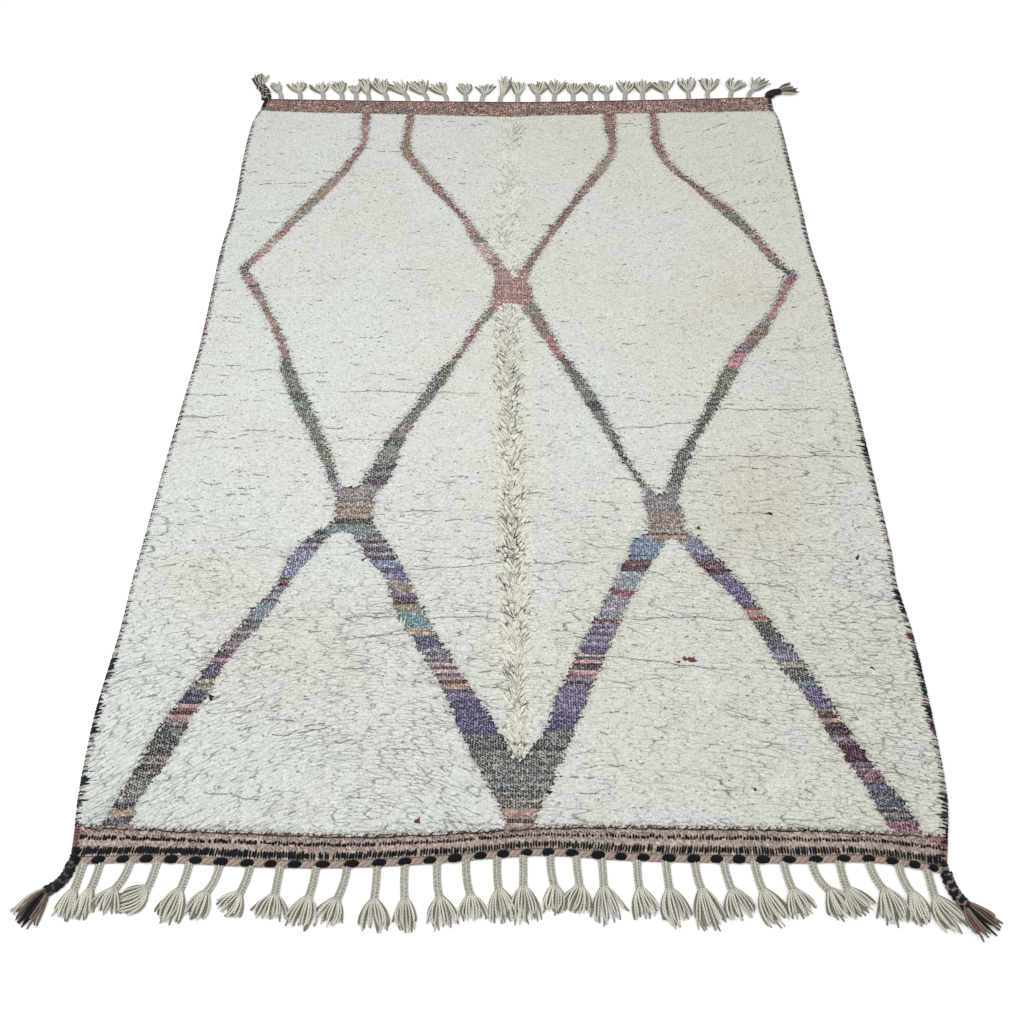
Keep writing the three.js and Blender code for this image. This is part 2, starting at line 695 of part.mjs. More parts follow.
// A twined edge row along one end of the cloth, raised at each twist, and the tassels that leave it
function fringe(column, edge, tassels, locks, plaitLength) {
  const away = column === 'nearEdge' ? -1 : 1;
  const left = sideRows('left', 'nearEdge', 'farEdge').at(away < 0 ? 0 : -1);
  const right = sideRows('right', 'nearEdge', 'farEdge').at(away < 0 ? 0 : -1);
  const places = endPlaces(column, left, right, 2 * edge.twists);
  const row = loft(
    places.map((p, k) => {
      const sunk = k % 2 ? 0 : edge.lump;
      const along = ({ out, up }) =>
        new THREE.Vector3(
          p.x,
          p.y + away * THREE.MathUtils.lerp(SEAM, edge.width - sunk, out),
          up * (edge.height - sunk),
        );
      return EDGE_PROFILE.map(along);
    }),
  );
  const hung = tassels.map(({ x, plait: drift, tip, reach, spread }, n) => {
    const edgeY = across(ENDS, 'x', column, x) + away * edge.width;
    const root = new THREE.Vector2(x, edgeY);
    const plaitEnd = new THREE.Vector2(x + drift, edgeY + away * plaitLength);
    const end = new THREE.Vector2(x + tip, edgeY + away * reach);
    return tassel(root, plaitEnd, end, spread, locks, PLAIT.rooted, SEED_STEP * n + locks);
  });
  return join([row, ...hung]);
}

// A corner tassel: its wrapped root carries on from the overcast side and goes past the corner
function cornerTassel({ side, end, plaitX, plaitY, tipX, tipY, spread }, seed) {
  const out = side === 'left' ? -1 : 1;
  const away = end === 'near' ? -1 : 1;
  const edge = end === 'near' ? NEAR_EDGE : FAR_EDGE;
  const rows = sideRows(side, 'nearEdge', 'farEdge');
  if (end === 'far') rows.reverse();
  const [corner, next] = [rows[0], rows[SELVEDGE_ENDS]];
  const past = corner.y + away * (edge.width + CORNER_WRAP.past);
  const ring = (x, y) => {
    const [inner, outer] = [x + out * SEAM, x + out * SELVEDGE_WIDTH];
    const at = (place, z) => new THREE.Vector3(place, y, z);
    return [at(inner, 0), at(outer, 0), at(outer - out, SELVEDGE_HEIGHT), at(inner, SELVEDGE_HEIGHT)];
  };
  const wrapped = loft([ring(next.x, next.y + away * SEAM), ring(corner.x, corner.y), ring(corner.x, past)]);
  const hung = tassel(
    new THREE.Vector2(corner.x + (out * (SELVEDGE_WIDTH + SEAM)) / 2, past - away * CORNER_WRAP.back),
    new THREE.Vector2(plaitX, plaitY),
    new THREE.Vector2(tipX, tipY),
    spread,
    CORNER_LOCKS,
    0,
    seed,
  );
  return wrapped.add(hung);
}

const nearFringe = fringe('nearEdge', NEAR_EDGE, NEAR_TASSELS, NEAR_LOCKS, NEAR_PLAIT_LENGTH);
const farFringe = fringe('farEdge', FAR_EDGE, FAR_TASSELS, FAR_LOCKS, FAR_PLAIT_LENGTH);
const rug = new THREE.Group();
rug.add(piece('rug_body', rugBody(), WOOL.rug_body));
rug.add(piece('left_selvedge', selvedge('left'), WOOL.left_selvedge));
rug.add(piece('right_selvedge', selvedge('right'), WOOL.right_selvedge));
rug.add(piece('near_fringe', nearFringe, WOOL.near_fringe));
rug.add(piece('far_fringe', farFringe, WOOL.far_fringe));
Object.entries(CORNERS).forEach(([name, corner], n) => {
  rug.add(piece(name, cornerTassel(corner, SEED_STEP * n), WOOL.corners));
});

export default rug;
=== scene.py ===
# %% [markdown]
# A hand-woven Atlas wool rug: a cream cut pile in eight panels, and between them the bands of a
# flat weave in short stripes of many yarns. Both ends carry a kilim band, a twined edge and a row
# of plaited tassels, and the long sides are overcast with left-over yarn. The maker's order is
# ground, flat weave, pile, sides, edges and tassels, and this lesson builds them in that order.
# The imported model is loaded first. It fixes where everything lies.

# %% The frame
import math

import bpy
import numpy as np
from mathutils import Matrix, Vector


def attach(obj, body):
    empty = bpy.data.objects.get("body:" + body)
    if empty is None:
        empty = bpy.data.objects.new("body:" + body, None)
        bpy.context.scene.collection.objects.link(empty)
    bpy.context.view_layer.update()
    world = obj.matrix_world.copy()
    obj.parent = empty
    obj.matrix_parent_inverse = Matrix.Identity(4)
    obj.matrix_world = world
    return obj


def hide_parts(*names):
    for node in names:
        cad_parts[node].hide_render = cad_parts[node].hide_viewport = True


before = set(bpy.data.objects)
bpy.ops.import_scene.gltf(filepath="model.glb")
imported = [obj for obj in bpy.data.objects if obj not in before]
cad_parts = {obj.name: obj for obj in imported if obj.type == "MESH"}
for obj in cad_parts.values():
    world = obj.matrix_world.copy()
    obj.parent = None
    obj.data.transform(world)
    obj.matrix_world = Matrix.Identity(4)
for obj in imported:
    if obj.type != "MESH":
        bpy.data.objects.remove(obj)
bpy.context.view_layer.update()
MM = 0.001

# %% [markdown]
# The camera stands at the near end and looks down on the rug. Its place and its three angles come
# from the rug's own four corners: with a 36 mm lens on a 36 mm sensor they fall where the photograph
# has them, wide apart at the near end and narrow at the far one. A camera is placed by the three
# directions that it calls right, up and back, which are the columns of its matrix.

# %% The camera
CAMERA_PLACE = (0.0362, -1.6613, 1.8447)
CAMERA_PITCH = math.radians(55.271)
CAMERA_ROLL = math.radians(-1.114)
CAMERA_YAW = math.radians(1.523)
CAMERA_LENS = 36.0

turn = Matrix.Rotation(CAMERA_YAW, 3, "Z")
ahead = turn @ Vector((0.0, math.cos(CAMERA_PITCH), -math.sin(CAMERA_PITCH)))
level_right = turn @ Vector((1.0, 0.0, 0.0))
level_up = turn @ Vector((0.0, math.sin(CAMERA_PITCH), math.cos(CAMERA_PITCH)))
right = math.cos(CAMERA_ROLL) * level_right + math.sin(CAMERA_ROLL) * level_up
up = math.cos(CAMERA_ROLL) * level_up - math.sin(CAMERA_ROLL) * level_right
camera_data = bpy.data.cameras.new("camera")
camera_data.lens = CAMERA_LENS
camera_data.sensor_width = 36.0
camera = bpy.data.objects.new("camera", camera_data)
facing = Matrix((right, up, -ahead)).transposed().to_4x4()
camera.matrix_world = Matrix.Translation(CAMERA_PLACE) @ facing
bpy.context.scene.collection.objects.link(camera)
bpy.context.scene.camera = camera
bpy.context.scene.view_settings.view_transform = "Standard"
print("camera looks down by", round(math.degrees(CAMERA_PITCH), 1), "degrees")

# %% [markdown]
# The rug's plan is a set of short tables in millimetres: where the sides lie, where cloth and pile
# end, and how each flat-woven band wanders. A smooth cubic through the rows gives any place
# between them, so one small function reads every table, for a whole array of places at once. A
# second one says how far a value has come on its way from one place to another: most of what
# changes slowly over the rug is such a ramp. Tables of names are short texts, which a third reads.

# %% Reading the plan
def across(table, places, column):
    """A table's column at many places: a cubic through its rows, held level past its ends."""
    rows = np.array(sorted(table), float)
    at, value = rows[:, 0], rows[:, column]
    places = np.clip(np.asarray(places, float), at[0], at[-1])
    i = np.clip(np.searchsorted(at, places, side="right") - 1, 0, len(at) - 2)
    before, after = np.maximum(i - 1, 0), np.minimum(i + 2, len(at) - 1)
    step = at[i + 1] - at[i]
    t = (places - at[i]) / step
    start = (value[i + 1] - value[before]) / (at[i + 1] - at[before]) * step
    end = (value[after] - value[i]) / (at[after] - at[i]) * step
    return (
        value[i] * (2 * t**3 - 3 * t**2 + 1)
        + start * (t**3 - 2 * t**2 + t)
        + value[i + 1] * (3 * t**2 - 2 * t**3)
        + end * (t**3 - t**2)
    )


def ramp(value, start, end):
    """0 up to the start, 1 past the end, and straight between: (value - start) / (end - start)."""
    return np.clip((value - start) / (end - start), 0, 1)


def rows_of(text):
    """A table's rows from its text: rows are parted by commas and values by blanks, numbers last."""
    rows = [entry.split() for entry in text.split(",")]
    return [[name, *map(float, numbers)] for name, *numbers in rows]


# Where the two long sides lie, their overcast edges included: y, left, right
SIDES = [
    (-1140, -776, 775), (-1090, -782, 788), (-1010, -792, 804), (-860, -799, 811),
    (-680, -792, 811), (-570, -793, 803), (-480, -791, 808), (-280, -788, 808),
    (-80, -782, 807), (110, -776, 800), (300, -780, 799), (460, -784, 786),
    (640, -778, 785), (830, -786, 782), (1010, -787, 779), (1080, -775, 770),
    (1140, -768, 770),
]
LEFT, RIGHT = 1, 2

# Where the cloth and the pile end, from the left side to the right one:
# x, near edge of the cloth, near edge of the pile, far edge of the pile, far edge of the cloth
ENDS = [
    (-770, -1135, -1082, 1079, 1138), (-620, -1131, -1088, 1069, 1133),
    (-430, -1138, -1093, 1061, 1127), (-300, -1138, -1097, 1055, 1124),
    (-140, -1130, -1092, 1047, 1120), (-20, -1119, -1085, 1045, 1118),
    (80, -1114, -1078, 1047, 1118), (230, -1122, -1077, 1053, 1121),
    (500, -1124, -1079, 1061, 1129), (650, -1122, -1084, 1064, 1134),
    (770, -1140, -1089, 1066, 1138),
]
NEAR_EDGE, NEAR_PILE, FAR_PILE, FAR_EDGE = 1, 2, 3, 4
SELVEDGE_WIDTH = 9


def cloth_side(side, y):
    """The cloth's own side at row y: the side of the table less the overcast edge."""
    inwards = 1 if side == LEFT else -1
    return across(SIDES, y, side) + inwards * SELVEDGE_WIDTH


def corner(side, end):
    """A corner of the cloth, where its side meets the given column of the ends' table."""
    y = across(ENDS, across(SIDES, 0.0, side), end)
    return cloth_side(side, y), y


width_in_middle = float(cloth_side(RIGHT, 0.0) - cloth_side(LEFT, 0.0))
print("cloth is", round(width_in_middle), "mm wide in its middle")

# %% [markdown]
# The lattice is four long lines that wander over the rug and meet in three knots and a stem. They
# are cut into bands, each a list of rows from its far end to its near end, with its middle and its
# width along X. Its rims are ragged and the drift of the yarns is uneven, but nothing here is left
# to chance: each random number is worked out from the number of the place that it belongs to.

# %% The lattice
# Each row: y, x of the band's middle, width
BANDS = {
    "outer_left": [
        (1100, -447, 34), (1000, -447, 27), (912, -443, 24), (806, -480, 30), (705, -530, 40),
        (628, -574, 38), (525, -627, 31), (433, -677, 36), (386, -706, 35), (362, -700, 30),
        (319, -674, 37), (235, -628, 25), (148, -585, 27), (95, -564, 24), (17, -541, 39),
        (-88, -493, 45), (-176, -450, 38), (-240, -421, 32), (-330, -385, 24), (-360, -365, 30),
    ],
    "inner_left_far": [
        (1090, -311, 27), (960, -319, 27), (890, -318, 35), (842, -301, 35), (726, -230, 37),
        (631, -171, 29), (568, -130, 24), (500, -102, 38), (401, -49, 39), (350, -27, 49),
        (322, -20, 52),
    ],
    "inner_right_far": [
        (1090, 277, 42), (966, 277, 36), (895, 281, 24), (849, 268, 29), (790, 241, 37),
        (655, 168, 29), (547, 111, 27), (436, 57, 27), (382, 33, 32), (322, 12, 46),
    ],
    "middle_node": [(350, -8, 60), (322, -4, 95), (278, -3, 105), (250, -2, 112)],
    "inner_left_near": [
        (262, -40, 36), (224, -58, 25), (178, -84, 25), (76, -131, 20), (1, -171, 40),
        (-96, -219, 34), (-186, -264, 46), (-290, -295, 60), (-350, -325, 50),
    ],
    "inner_right_near": [
        (262, 30, 44), (185, 65, 43), (96, 103, 30), (47, 130, 31), (-68, 185, 42),
        (-165, 225, 30), (-246, 255, 20), (-327, 297, 20), (-360, 312, 34),
    ],
    "outer_right": [
        (1100, 406, 30), (980, 408, 29), (900, 409, 32), (803, 439, 29), (714, 501, 30),
        (612, 574, 48), (509, 636, 35), (396, 687, 34), (352, 719, 32), (334, 708, 36),
        (238, 661, 25), (140, 599, 48), (73, 550, 43), (-33, 495, 42), (-117, 454, 32),
        (-191, 413, 26), (-240, 388, 38), (-332, 358, 32), (-360, 352, 34),
    ],
    "left_node": [(-322, -350, 50), (-342, -345, 82), (-380, -342, 85), (-415, -343, 88), (-449, -351, 140)],
    "right_node": [(-340, 329, 50), (-357, 329, 75), (-405, 337, 78), (-431, 337, 76), (-463, 339, 128)],
    "outer_left_near": [
        (-440, -400, 34), (-497, -439, 44), (-572, -472, 26), (-662, -521, 40), (-750, -575, 33),
        (-834, -612, 44), (-884, -636, 50), (-968, -665, 52), (-1035, -694, 40), (-1115, -712, 62),
    ],
    "inner_left_end": [
        (-440, -314, 61), (-504, -274, 62), (-561, -235, 46), (-649, -199, 56), (-730, -149, 52),
        (-818, -96, 58), (-893, -55, 72), (-965, -18, 76),
    ],
    "inner_right_end": [
        (-455, 303, 70), (-532, 263, 57), (-628, 213, 51), (-722, 170, 57), (-817, 127, 62),
        (-892, 99, 56), (-965, 60, 74),
    ],
    "outer_right_near": [
        (-455, 376, 42), (-529, 427, 52), (-611, 484, 40), (-696, 529, 38), (-755, 557, 56),
        (-810, 588, 38), (-914, 635, 43), (-991, 674, 46), (-1047, 701, 57), (-1115, 730, 44),
    ],
    "near_stem": [(-950, 20, 160), (-1009, 22, 108), (-1057, 25, 62), (-1115, 28, 50)],
}
BAND_MIDDLE, BAND_WIDTH = 1, 2
# The height of a row of knots, how far its end may jump sideways, and the depth of places that lie
# past a band's ends
RIM_STEP, RIM_RAGGED, OUTSIDE = 6.2, 3.2, -1e3


def scatter(n, seed=0.0):
    """A repeatable scatter from 0 to 1 for whole numbers n: the fraction of a large sine."""
    wave = np.sin(np.asarray(n, float) * 12.9898 + seed * 78.233 + 4.137) * 43758.5453
    return wave - np.floor(wave)


def drift(x, y, size, seed):
    """Soft noise from -1 to 1: a scatter on a square grid of the given size, eased between its
    points. With y at 0 it is a noise along x alone."""
    u, v = np.asarray(x, float) / size, np.asarray(y, float) / size
    i, j = np.floor(u), np.floor(v)
    a, b = u - i, v - j
    a, b = a * a * (3 - 2 * a), b * b * (3 - 2 * b)
    number = i + 311.0 * j
    near = scatter(number, seed) * (1 - a) + scatter(number + 1, seed) * a
    far = scatter(number + 311.0, seed) * (1 - a) + scatter(number + 312.0, seed) * a
    return 2 * (near * (1 - b) + far * b) - 1


def band_reach(name, n, x, y, overlap, ragged):
    """How deep a place lies in a band, in millimetres: half the band's width less the distance
    from its middle. The rims jump sideways at every few rows, as rows of knots do."""
    rows = BANDS[name]
    step = np.floor(y / RIM_STEP + scatter(n, 3.0))
    away = x - across(rows, y, BAND_MIDDLE)
    jump = ragged * (2 * scatter(step * 2 + (away > 0), n + 1.0) - 1)
    depth = across(rows, y, BAND_WIDTH) / 2 + jump - np.abs(away)
    inside = (y <= rows[0][0] + overlap) & (y >= rows[-1][0] - overlap)
    return np.where(inside, depth, OUTSIDE)


def lattice_reach(x, y, overlap=0.0, ragged=0.0):
    """The deepest reach of any band at each place, and the number of that band."""
    depths = np.array([band_reach(name, n, x, y, overlap, ragged) for n, name in enumerate(BANDS)])
    return depths.max(0), depths.argmax(0)


def overhang(y):
    """How far the tufts beside a band lean over it, in millimetres: most on the far half."""
    return 1.0 + 3.2 * ramp(y, -450, -250)


print("the lattice has", len(BANDS), "bands and", sum(map(len, BANDS.values())), "rows")

# %% [markdown]
# Wool is dyed and spun at home, so no yarn is one colour. Each yarn of the flat weave is a pair:
# the dark weft that covers most of a row and the paler thread that shows between. The names are
# the palette of the stripes; their values are plain sRGB, turned linear by one function.

# %% The yarns
def linear(colour):
    """An sRGB hex colour as linear red, green and blue: the sRGB curve undone."""
    parts = np.array([int(colour[k : k + 2], 16) for k in (1, 3, 5)]) / 255.0
    return np.where(parts <= 0.04045, parts / 12.92, ((parts + 0.055) / 1.055) ** 2.4)


# Each yarn: its name, its own colour, and the paler colour that shows between its beads
PALETTE = """
    black #19171b #8f8b8a, blue_lilac #4d5371 #c0c4d0, brick #64433d #cbb2a8, brown #4e403b #bdaea4,
    charcoal #242325 #a9a8a5, charcoal_green #32352f #b0b1a6, cream #bbb6ab #dcd8cc,
    crimson #5e2236 #b8969f, dark_brown #3c322e #b0a197, dark_green #212b28 #9da29a,
    dark_olive #3d3b33 #b7b4a3, grey #4d4d4b #b1b2ae, hot_pink #8d475d #cfa2aa, indigo #2b273d #8e8ba5,
    kilim_brick #542a22 #dcbdae, light_blue #55647b #b2bccd, lilac #4a3d58 #b0a5ba,
    lilac_grey #615c67 #c5c0c8, magenta #592f49 #b597a6, maroon #26111a #7e6270, mauve #62555d #baafb5,
    navy #12141e #75768a, olive #5d594b #b7b29f, orange #84685a #ccb2a2, pale_blue_grey #656e78 #bfc4c9,
    pale_pink #9a7f7d #ddcfc8, pink #8e6d70 #d3bab6, pink_tan #80716b #bfaea4, plum #382835 #a08f9f,
    purple #352a48 #a094b0, red #5e2e36 #b38f8f, rose #74514f #c6a8a2, salmon #8f6c62 #cbaea5,
    slate #32343e #9b9ca7, tan #796b5f #c6b7a8, teal #486567 #abbdbd, yellow_tan #776e59 #cfc8b1"""
YARNS = sorted(entry.split() for entry in PALETTE.split(","))
YARN_NAMES = [name for name, _, _ in YARNS]
OWN_COLOUR = np.array([linear(own) for _, own, _ in YARNS])
SPECK_COLOUR = np.array([linear(paler) for _, _, paler in YARNS])


def yarn_number(names):
    """The numbers of the yarns whose names are joined by plus signs."""
    return [YARN_NAMES.index(name) for name in names.split("+")]


print(len(YARNS), "yarns in the palette")

# %% [markdown]
# The weaver changed yarn every few rows. A band's stripes are listed from its far end to its near
# end as the yarn and the row where it ends. Two or three names joined by a plus sign are yarns that
# take turns, two picks each.

# %% The stripes
STRIPES = {
    "outer_left": """
        rose+brick 1008, pink 934, brick+rose 850, rose+tan 760, tan 690, tan+olive 600, olive+tan 560,
        rose 513, pale_pink+yellow_tan 459, salmon+pink 414, dark_brown+grey 364, pink 334,
        mauve+plum+pink 300, pink+mauve 260, olive+brown 228, salmon 182, brown 155, rose+pink 71,
        charcoal_green 4, grey -40, dark_green -65, teal+grey -81, charcoal_green -96, grey -142,
        grey+mauve -179, charcoal_green -222, olive+grey -258, slate+grey -300, lilac_grey -360""",
    "inner_left_far": """
        brick+rose 911, brown+olive 887, rose+brick 818, olive+tan 751, rose+brick 644,
        dark_brown+brick 589, rose+pink 521, olive+mauve 487, pale_pink 429, rose+pink+mauve 322""",
    "inner_right_far": """
        brick+rose 999, dark_brown+brick 957, rose 887, pink+rose 849, tan 773, brick+brown 707,
        dark_brown+brick 572, rose+mauve+brick 460, brown+rose 375, rose+pink 322""",
    "middle_node": """
        rose+pink+brick 283, pink+rose 262, hot_pink+pale_pink 250""",
    "inner_left_near": """
        hot_pink+pink 240, olive+grey 192, rose 155, pink+magenta 77, dark_olive 54, charcoal_green -50,
        grey -142, mauve+brown -179, dark_green -205, grey -258, black -272, charcoal+mauve -290,
        black+plum -317, mauve+grey -350""",
    "inner_right_near": """
        olive+grey 217, rose+brown 182, olive+brown 148, pink+hot_pink 80, dark_brown 37,
        charcoal_green -18, grey -65, black -96, grey -187, black -199, charcoal -267,
        grey+charcoal -314, lilac_grey -360""",
    "outer_right": """
        rose+brick 982, rose+crimson+brick 863, tan+brick 773, brick+brown 707, tan+rose 665,
        rose+brown 615, dark_brown+grey 521, rose+brown+pink 462, charcoal+rose 452, rose+brown 414,
        grey+dark_green 356, crimson+hot_pink 326, salmon+pink 297, crimson+rose+pink 252,
        pink+hot_pink 210, mauve+lilac_grey 182, brown+orange+dark_brown 120, plum+mauve 90,
        hot_pink+pink 40, charcoal_green+dark_olive -50, black+grey -158, charcoal_green+charcoal -314,
        grey+mauve -360""",
    "left_node": """
        lilac_grey+tan -356, tan+brown -404, black -420, grey+teal -449""",
    "right_node": """
        grey+mauve -388, brown+pink_tan -404, grey+tan -441, black+tan -446, brown+orange+tan -463""",
    "outer_left_near": """
        black+slate -453, plum+lilac_grey+black -487, blue_lilac -556, maroon+red+black -576,
        lilac_grey+slate+lilac_grey -616, teal+lilac_grey -655, black -664, mauve+grey+plum -701,
        brown+mauve -723, plum+black -739, pink+plum -756, plum+indigo -787, yellow_tan+charcoal -808,
        navy+slate -841, pink+maroon+red -871, maroon+rose -880, black+dark_green+black -948,
        pink_tan -953, charcoal -959, tan -963, black -972, tan+black+tan -983, black -990,
        charcoal+grey -1019, tan+charcoal -1028, grey -1036, black -1048, tan+pink_tan -1063,
        black+slate -1079, pink_tan -1115""",
    "inner_left_end": """
        grey+teal -445, mauve+slate -461, plum+lilac_grey+black -504, black -512, blue_lilac -530,
        indigo+black -540, blue_lilac+lilac -566, tan+olive -585, mauve+lilac -602, plum+maroon -616,
        yellow_tan+olive -637, teal -674, yellow_tan+pink_tan -690, slate+indigo -719,
        slate+lilac_grey -745, plum+pale_pink -781, orange+black+pink -806, black+plum -814, lilac -832,
        indigo+purple+indigo -902, charcoal -925, black -933, charcoal+grey -990""",
    "inner_right_end": """
        light_blue -494, light_blue+navy -507, maroon+crimson+black -537, pale_blue_grey -580,
        red+crimson -595, lilac_grey -651, black+crimson -662, purple+lilac_grey -712, purple -730,
        pale_pink+black -745, maroon+pink+black -771, magenta+mauve -787, black+plum -800, lilac -854,
        purple+indigo -892, charcoal -925, black+tan -933, charcoal+grey -990""",
    "outer_right_near": """
        light_blue+mauve -494, lilac+plum -517, crimson+black+maroon -544, lilac+purple -609,
        indigo -623, pink+orange+red -655, dark_green+black -692, slate -719, lilac_grey+lilac -749,
        yellow_tan+mauve+black -762, dark_green+charcoal -787, teal -795, lilac+purple -846,
        orange+maroon+black -880, maroon+black -898, plum+mauve -916, maroon -951, plum+mauve -966,
        crimson+plum -989, indigo+slate+black -1038, mauve+black -1066, crimson -1080,
        mauve+pink_tan -1115""",
    "near_stem": """
        charcoal+grey -985, grey -989, charcoal+grey -1003, charcoal+grey+black -1013,
        charcoal+grey -1026, tan -1030, charcoal -1043, salmon+pink_tan -1061, black+tan -1074,
        pink_tan -1115""",
}
PICKS_TOGETHER = 2


def yarn_of(band, y, pick):
    """The yarn's number at each place of a band: the stripe that its row falls in, and within a
    stripe the yarns in turn, two picks of each."""
    stripes = rows_of(STRIPES[band])
    ends = -np.array([end for _, end in stripes])
    which = np.minimum(np.searchsorted(ends, -y), len(stripes) - 1)
    turns = [yarn_number(names) for names, _ in stripes]
    counts = np.array([len(turn) for turn in turns])
    table = np.array([[turn[k % len(turn)] for k in range(counts.max())] for turn in turns])
    return table[which, (pick // PICKS_TOGETHER) % counts[which]]


# The overcast sides change yarn too. Each stretch of a side, from the far end: its yarns in turn, the
# row where it ends, and how boldly they bite into the pile, from 0 for short teeth to 1 for long ones
SIDE_YARNS = {
    LEFT: """
        maroon+black 1105 0.3, charcoal_green+cream+grey 215 0.25, crimson+cream+hot_pink 110 0.45,
        charcoal+cream+grey -610 0.2, charcoal+cream -640 0.25, rose+cream+charcoal -748 0.25,
        maroon+black+dark_green -788 1.0, navy+navy+cream -826 0.7, navy+black -862 1.0,
        maroon+black -874 0.8, cream+tan -886 0.4, black+navy -908 0.8, brown+cream+tan -966 0.2,
        charcoal+slate+cream -979 0.4, dark_green+navy -1008 1.0, dark_green+slate+cream -1030 0.4,
        black+navy -1042 0.7, black+cream -1072 0.35, black+navy -1084 0.6, pink_tan+rose -1116 0.2,
        black -1160 0.6""",
    RIGHT: """
        brick+maroon 1100 0.2, charcoal+cream+grey 383 0.25, crimson+cream+maroon 96 0.4,
        charcoal+cream+grey -190 0.3, black+charcoal -245 0.8, charcoal+grey+cream -434 0.45,
        salmon+orange+tan -472 0.45, dark_olive+grey+cream -512 0.3, maroon+cream+mauve -560 0.4,
        charcoal+cream -590 0.3, black+navy -640 0.8, brick+cream+charcoal -686 0.4,
        red+crimson -700 0.8, red+orange+tan -726 0.35, navy+dark_green -764 0.9,
        dark_green+teal+charcoal -816 0.8, rose+charcoal -838 0.5, black+charcoal -856 1.0,
        crimson+maroon+mauve -902 0.7, salmon+cream+maroon -955 0.3, mauve+cream+grey -1015 0.3,
        dark_green+black+slate -1090 0.7, maroon+salmon -1160 0.5""",
}


def stretch_of(side, y):
    """The number of a side's stretch at each row."""
    ends = [-end for _, end, _ in rows_of(SIDE_YARNS[side])]
    return np.minimum(np.searchsorted(ends, -np.asarray(y)), len(ends) - 1)


def boldness(side, y):
    """How boldly the side's yarn bites into the pile at each row."""
    return np.array([bold for _, _, bold in rows_of(SIDE_YARNS[side])])[stretch_of(side, y)]


print(sum(len(rows_of(text)) for text in STRIPES.values()), "stripes in the lattice")

# %% [markdown]
# Every piece here is a surface or a bundle of tubes that numpy works out as whole arrays. Two
# helpers turn arrays into Blender objects: one makes the mesh with its colours and its own map, and
# one sweeps a many-sided section along many paths at once.

# %% Meshes from arrays
def mesh_object(name, points, faces, material, paints, uv=None, sharp=None):
    """An object at the origin from points in millimetres. Faces are lists of equally sided polygons.
    Paints are named layers of linear colour, one for each point or each face; uv has one pair for each
    corner; sharp marks points, and an edge between two of them keeps its crease in the shading."""
    mesh = bpy.data.meshes.new(name)
    sizes = np.concatenate([np.full(len(part), part.shape[1]) for part in faces])
    corners = np.concatenate([part.ravel() for part in faces])
    mesh.vertices.add(len(points))
    mesh.vertices.foreach_set("co", (np.asarray(points, float) * MM).astype(np.float32).ravel())
    mesh.loops.add(len(corners))
    mesh.loops.foreach_set("vertex_index", corners.astype(np.int32))
    mesh.polygons.add(len(sizes))
    mesh.polygons.foreach_set("loop_start", (np.cumsum(sizes) - sizes).astype(np.int32))
    mesh.update(calc_edges=True)
    mesh.polygons.foreach_set("use_smooth", np.ones(len(sizes), bool))
    for paint, colours in paints.items():
        per_face = len(colours) == len(sizes) and len(colours) != len(points)
        values = np.repeat(colours, sizes, axis=0) if per_face else colours
        layer = mesh.color_attributes.new(paint, "FLOAT_COLOR", "CORNER" if per_face else "POINT")
        layer.data.foreach_set("color", np.column_stack([values, np.ones(len(values))]).ravel())
    if sharp is not None:
        pairs = np.empty(2 * len(mesh.edges), np.int32)
        mesh.edges.foreach_get("vertices", pairs)
        marks = mesh.attributes.new("sharp_edge", "BOOLEAN", "EDGE")
        marks.data.foreach_set("value", sharp[pairs.reshape(-1, 2)].all(1))
    if uv is not None:
        layer = mesh.uv_layers.new(name="thread")
        layer.data.foreach_set("uv", np.asarray(uv, np.float32).ravel())
    mesh.materials.append(material)
    made = bpy.data.objects.new(name, mesh)
    bpy.context.scene.collection.objects.link(made)
    print(f"{name}: {len(points)} points, {int((sizes - 2).sum())} triangles")
    return made


def unit(vectors):
    """Vectors of length one along the last axis."""
    return vectors / np.maximum(np.linalg.norm(vectors, axis=-1, keepdims=True), 1e-9)


def tubes(paths, wide, high, sides, twist=0.0):
    """Closed tubes along many paths of equally many stations. A section is an ellipse: its wide axis
    lies level across the path and its high axis stands square to both. Gives the points, the
    faces as a list, the thread map, and the number of the path of each point."""
    paths = np.asarray(paths, float)
    count, stations = paths.shape[:2]
    wide = np.broadcast_to(wide, (count, stations))[..., None, None]
    high = np.broadcast_to(high, (count, stations))[..., None, None]
    along = unit(np.gradient(paths, axis=1))
    level = unit(np.cross(along, [0.0, 0.0, 1.0]) + 1e-6 * np.array([1.0, 0.3, 0.0]))
    upright = np.cross(level, along)
    angle = 2 * np.pi * (np.arange(sides) + twist) / sides
    ring = wide * np.cos(angle)[:, None] * level[:, :, None]
    ring = ring + high * np.sin(angle)[:, None] * upright[:, :, None]
    points = (paths[:, :, None] + ring).reshape(-1, 3)
    first = (np.arange(count)[:, None, None] * stations + np.arange(stations - 1)[:, None]) * sides
    a = first + np.arange(sides)
    b = first + (np.arange(sides) + 1) % sides
    walls = np.stack([a, b, b + sides, a + sides], -1).reshape(-1, 4)[:, ::-1]
    start = np.arange(count)[:, None] * stations * sides + np.arange(sides)
    caps = np.concatenate([start, (start + (stations - 1) * sides)[:, ::-1]])
    steps = np.linalg.norm(np.diff(paths, axis=1), axis=2)
    length = np.concatenate([np.zeros((count, 1)), steps.cumsum(1)], 1)
    low = np.broadcast_to(length[:, :-1, None], (count, stations - 1, sides))
    top = np.broadcast_to(length[:, 1:, None], low.shape)
    left = np.broadcast_to(np.arange(sides) / sides, low.shape)
    right = left + 1.0 / sides
    round_each = ((left, top), (right, top), (right, low), (left, low))
    map_walls = np.stack([np.stack(pair, -1) for pair in round_each], -2)
    uv = np.concatenate([map_walls.reshape(-1, 2), np.zeros((caps.size, 2))])
    owner = np.repeat(np.arange(count), stations * sides)
    return points, [walls, caps], uv, owner


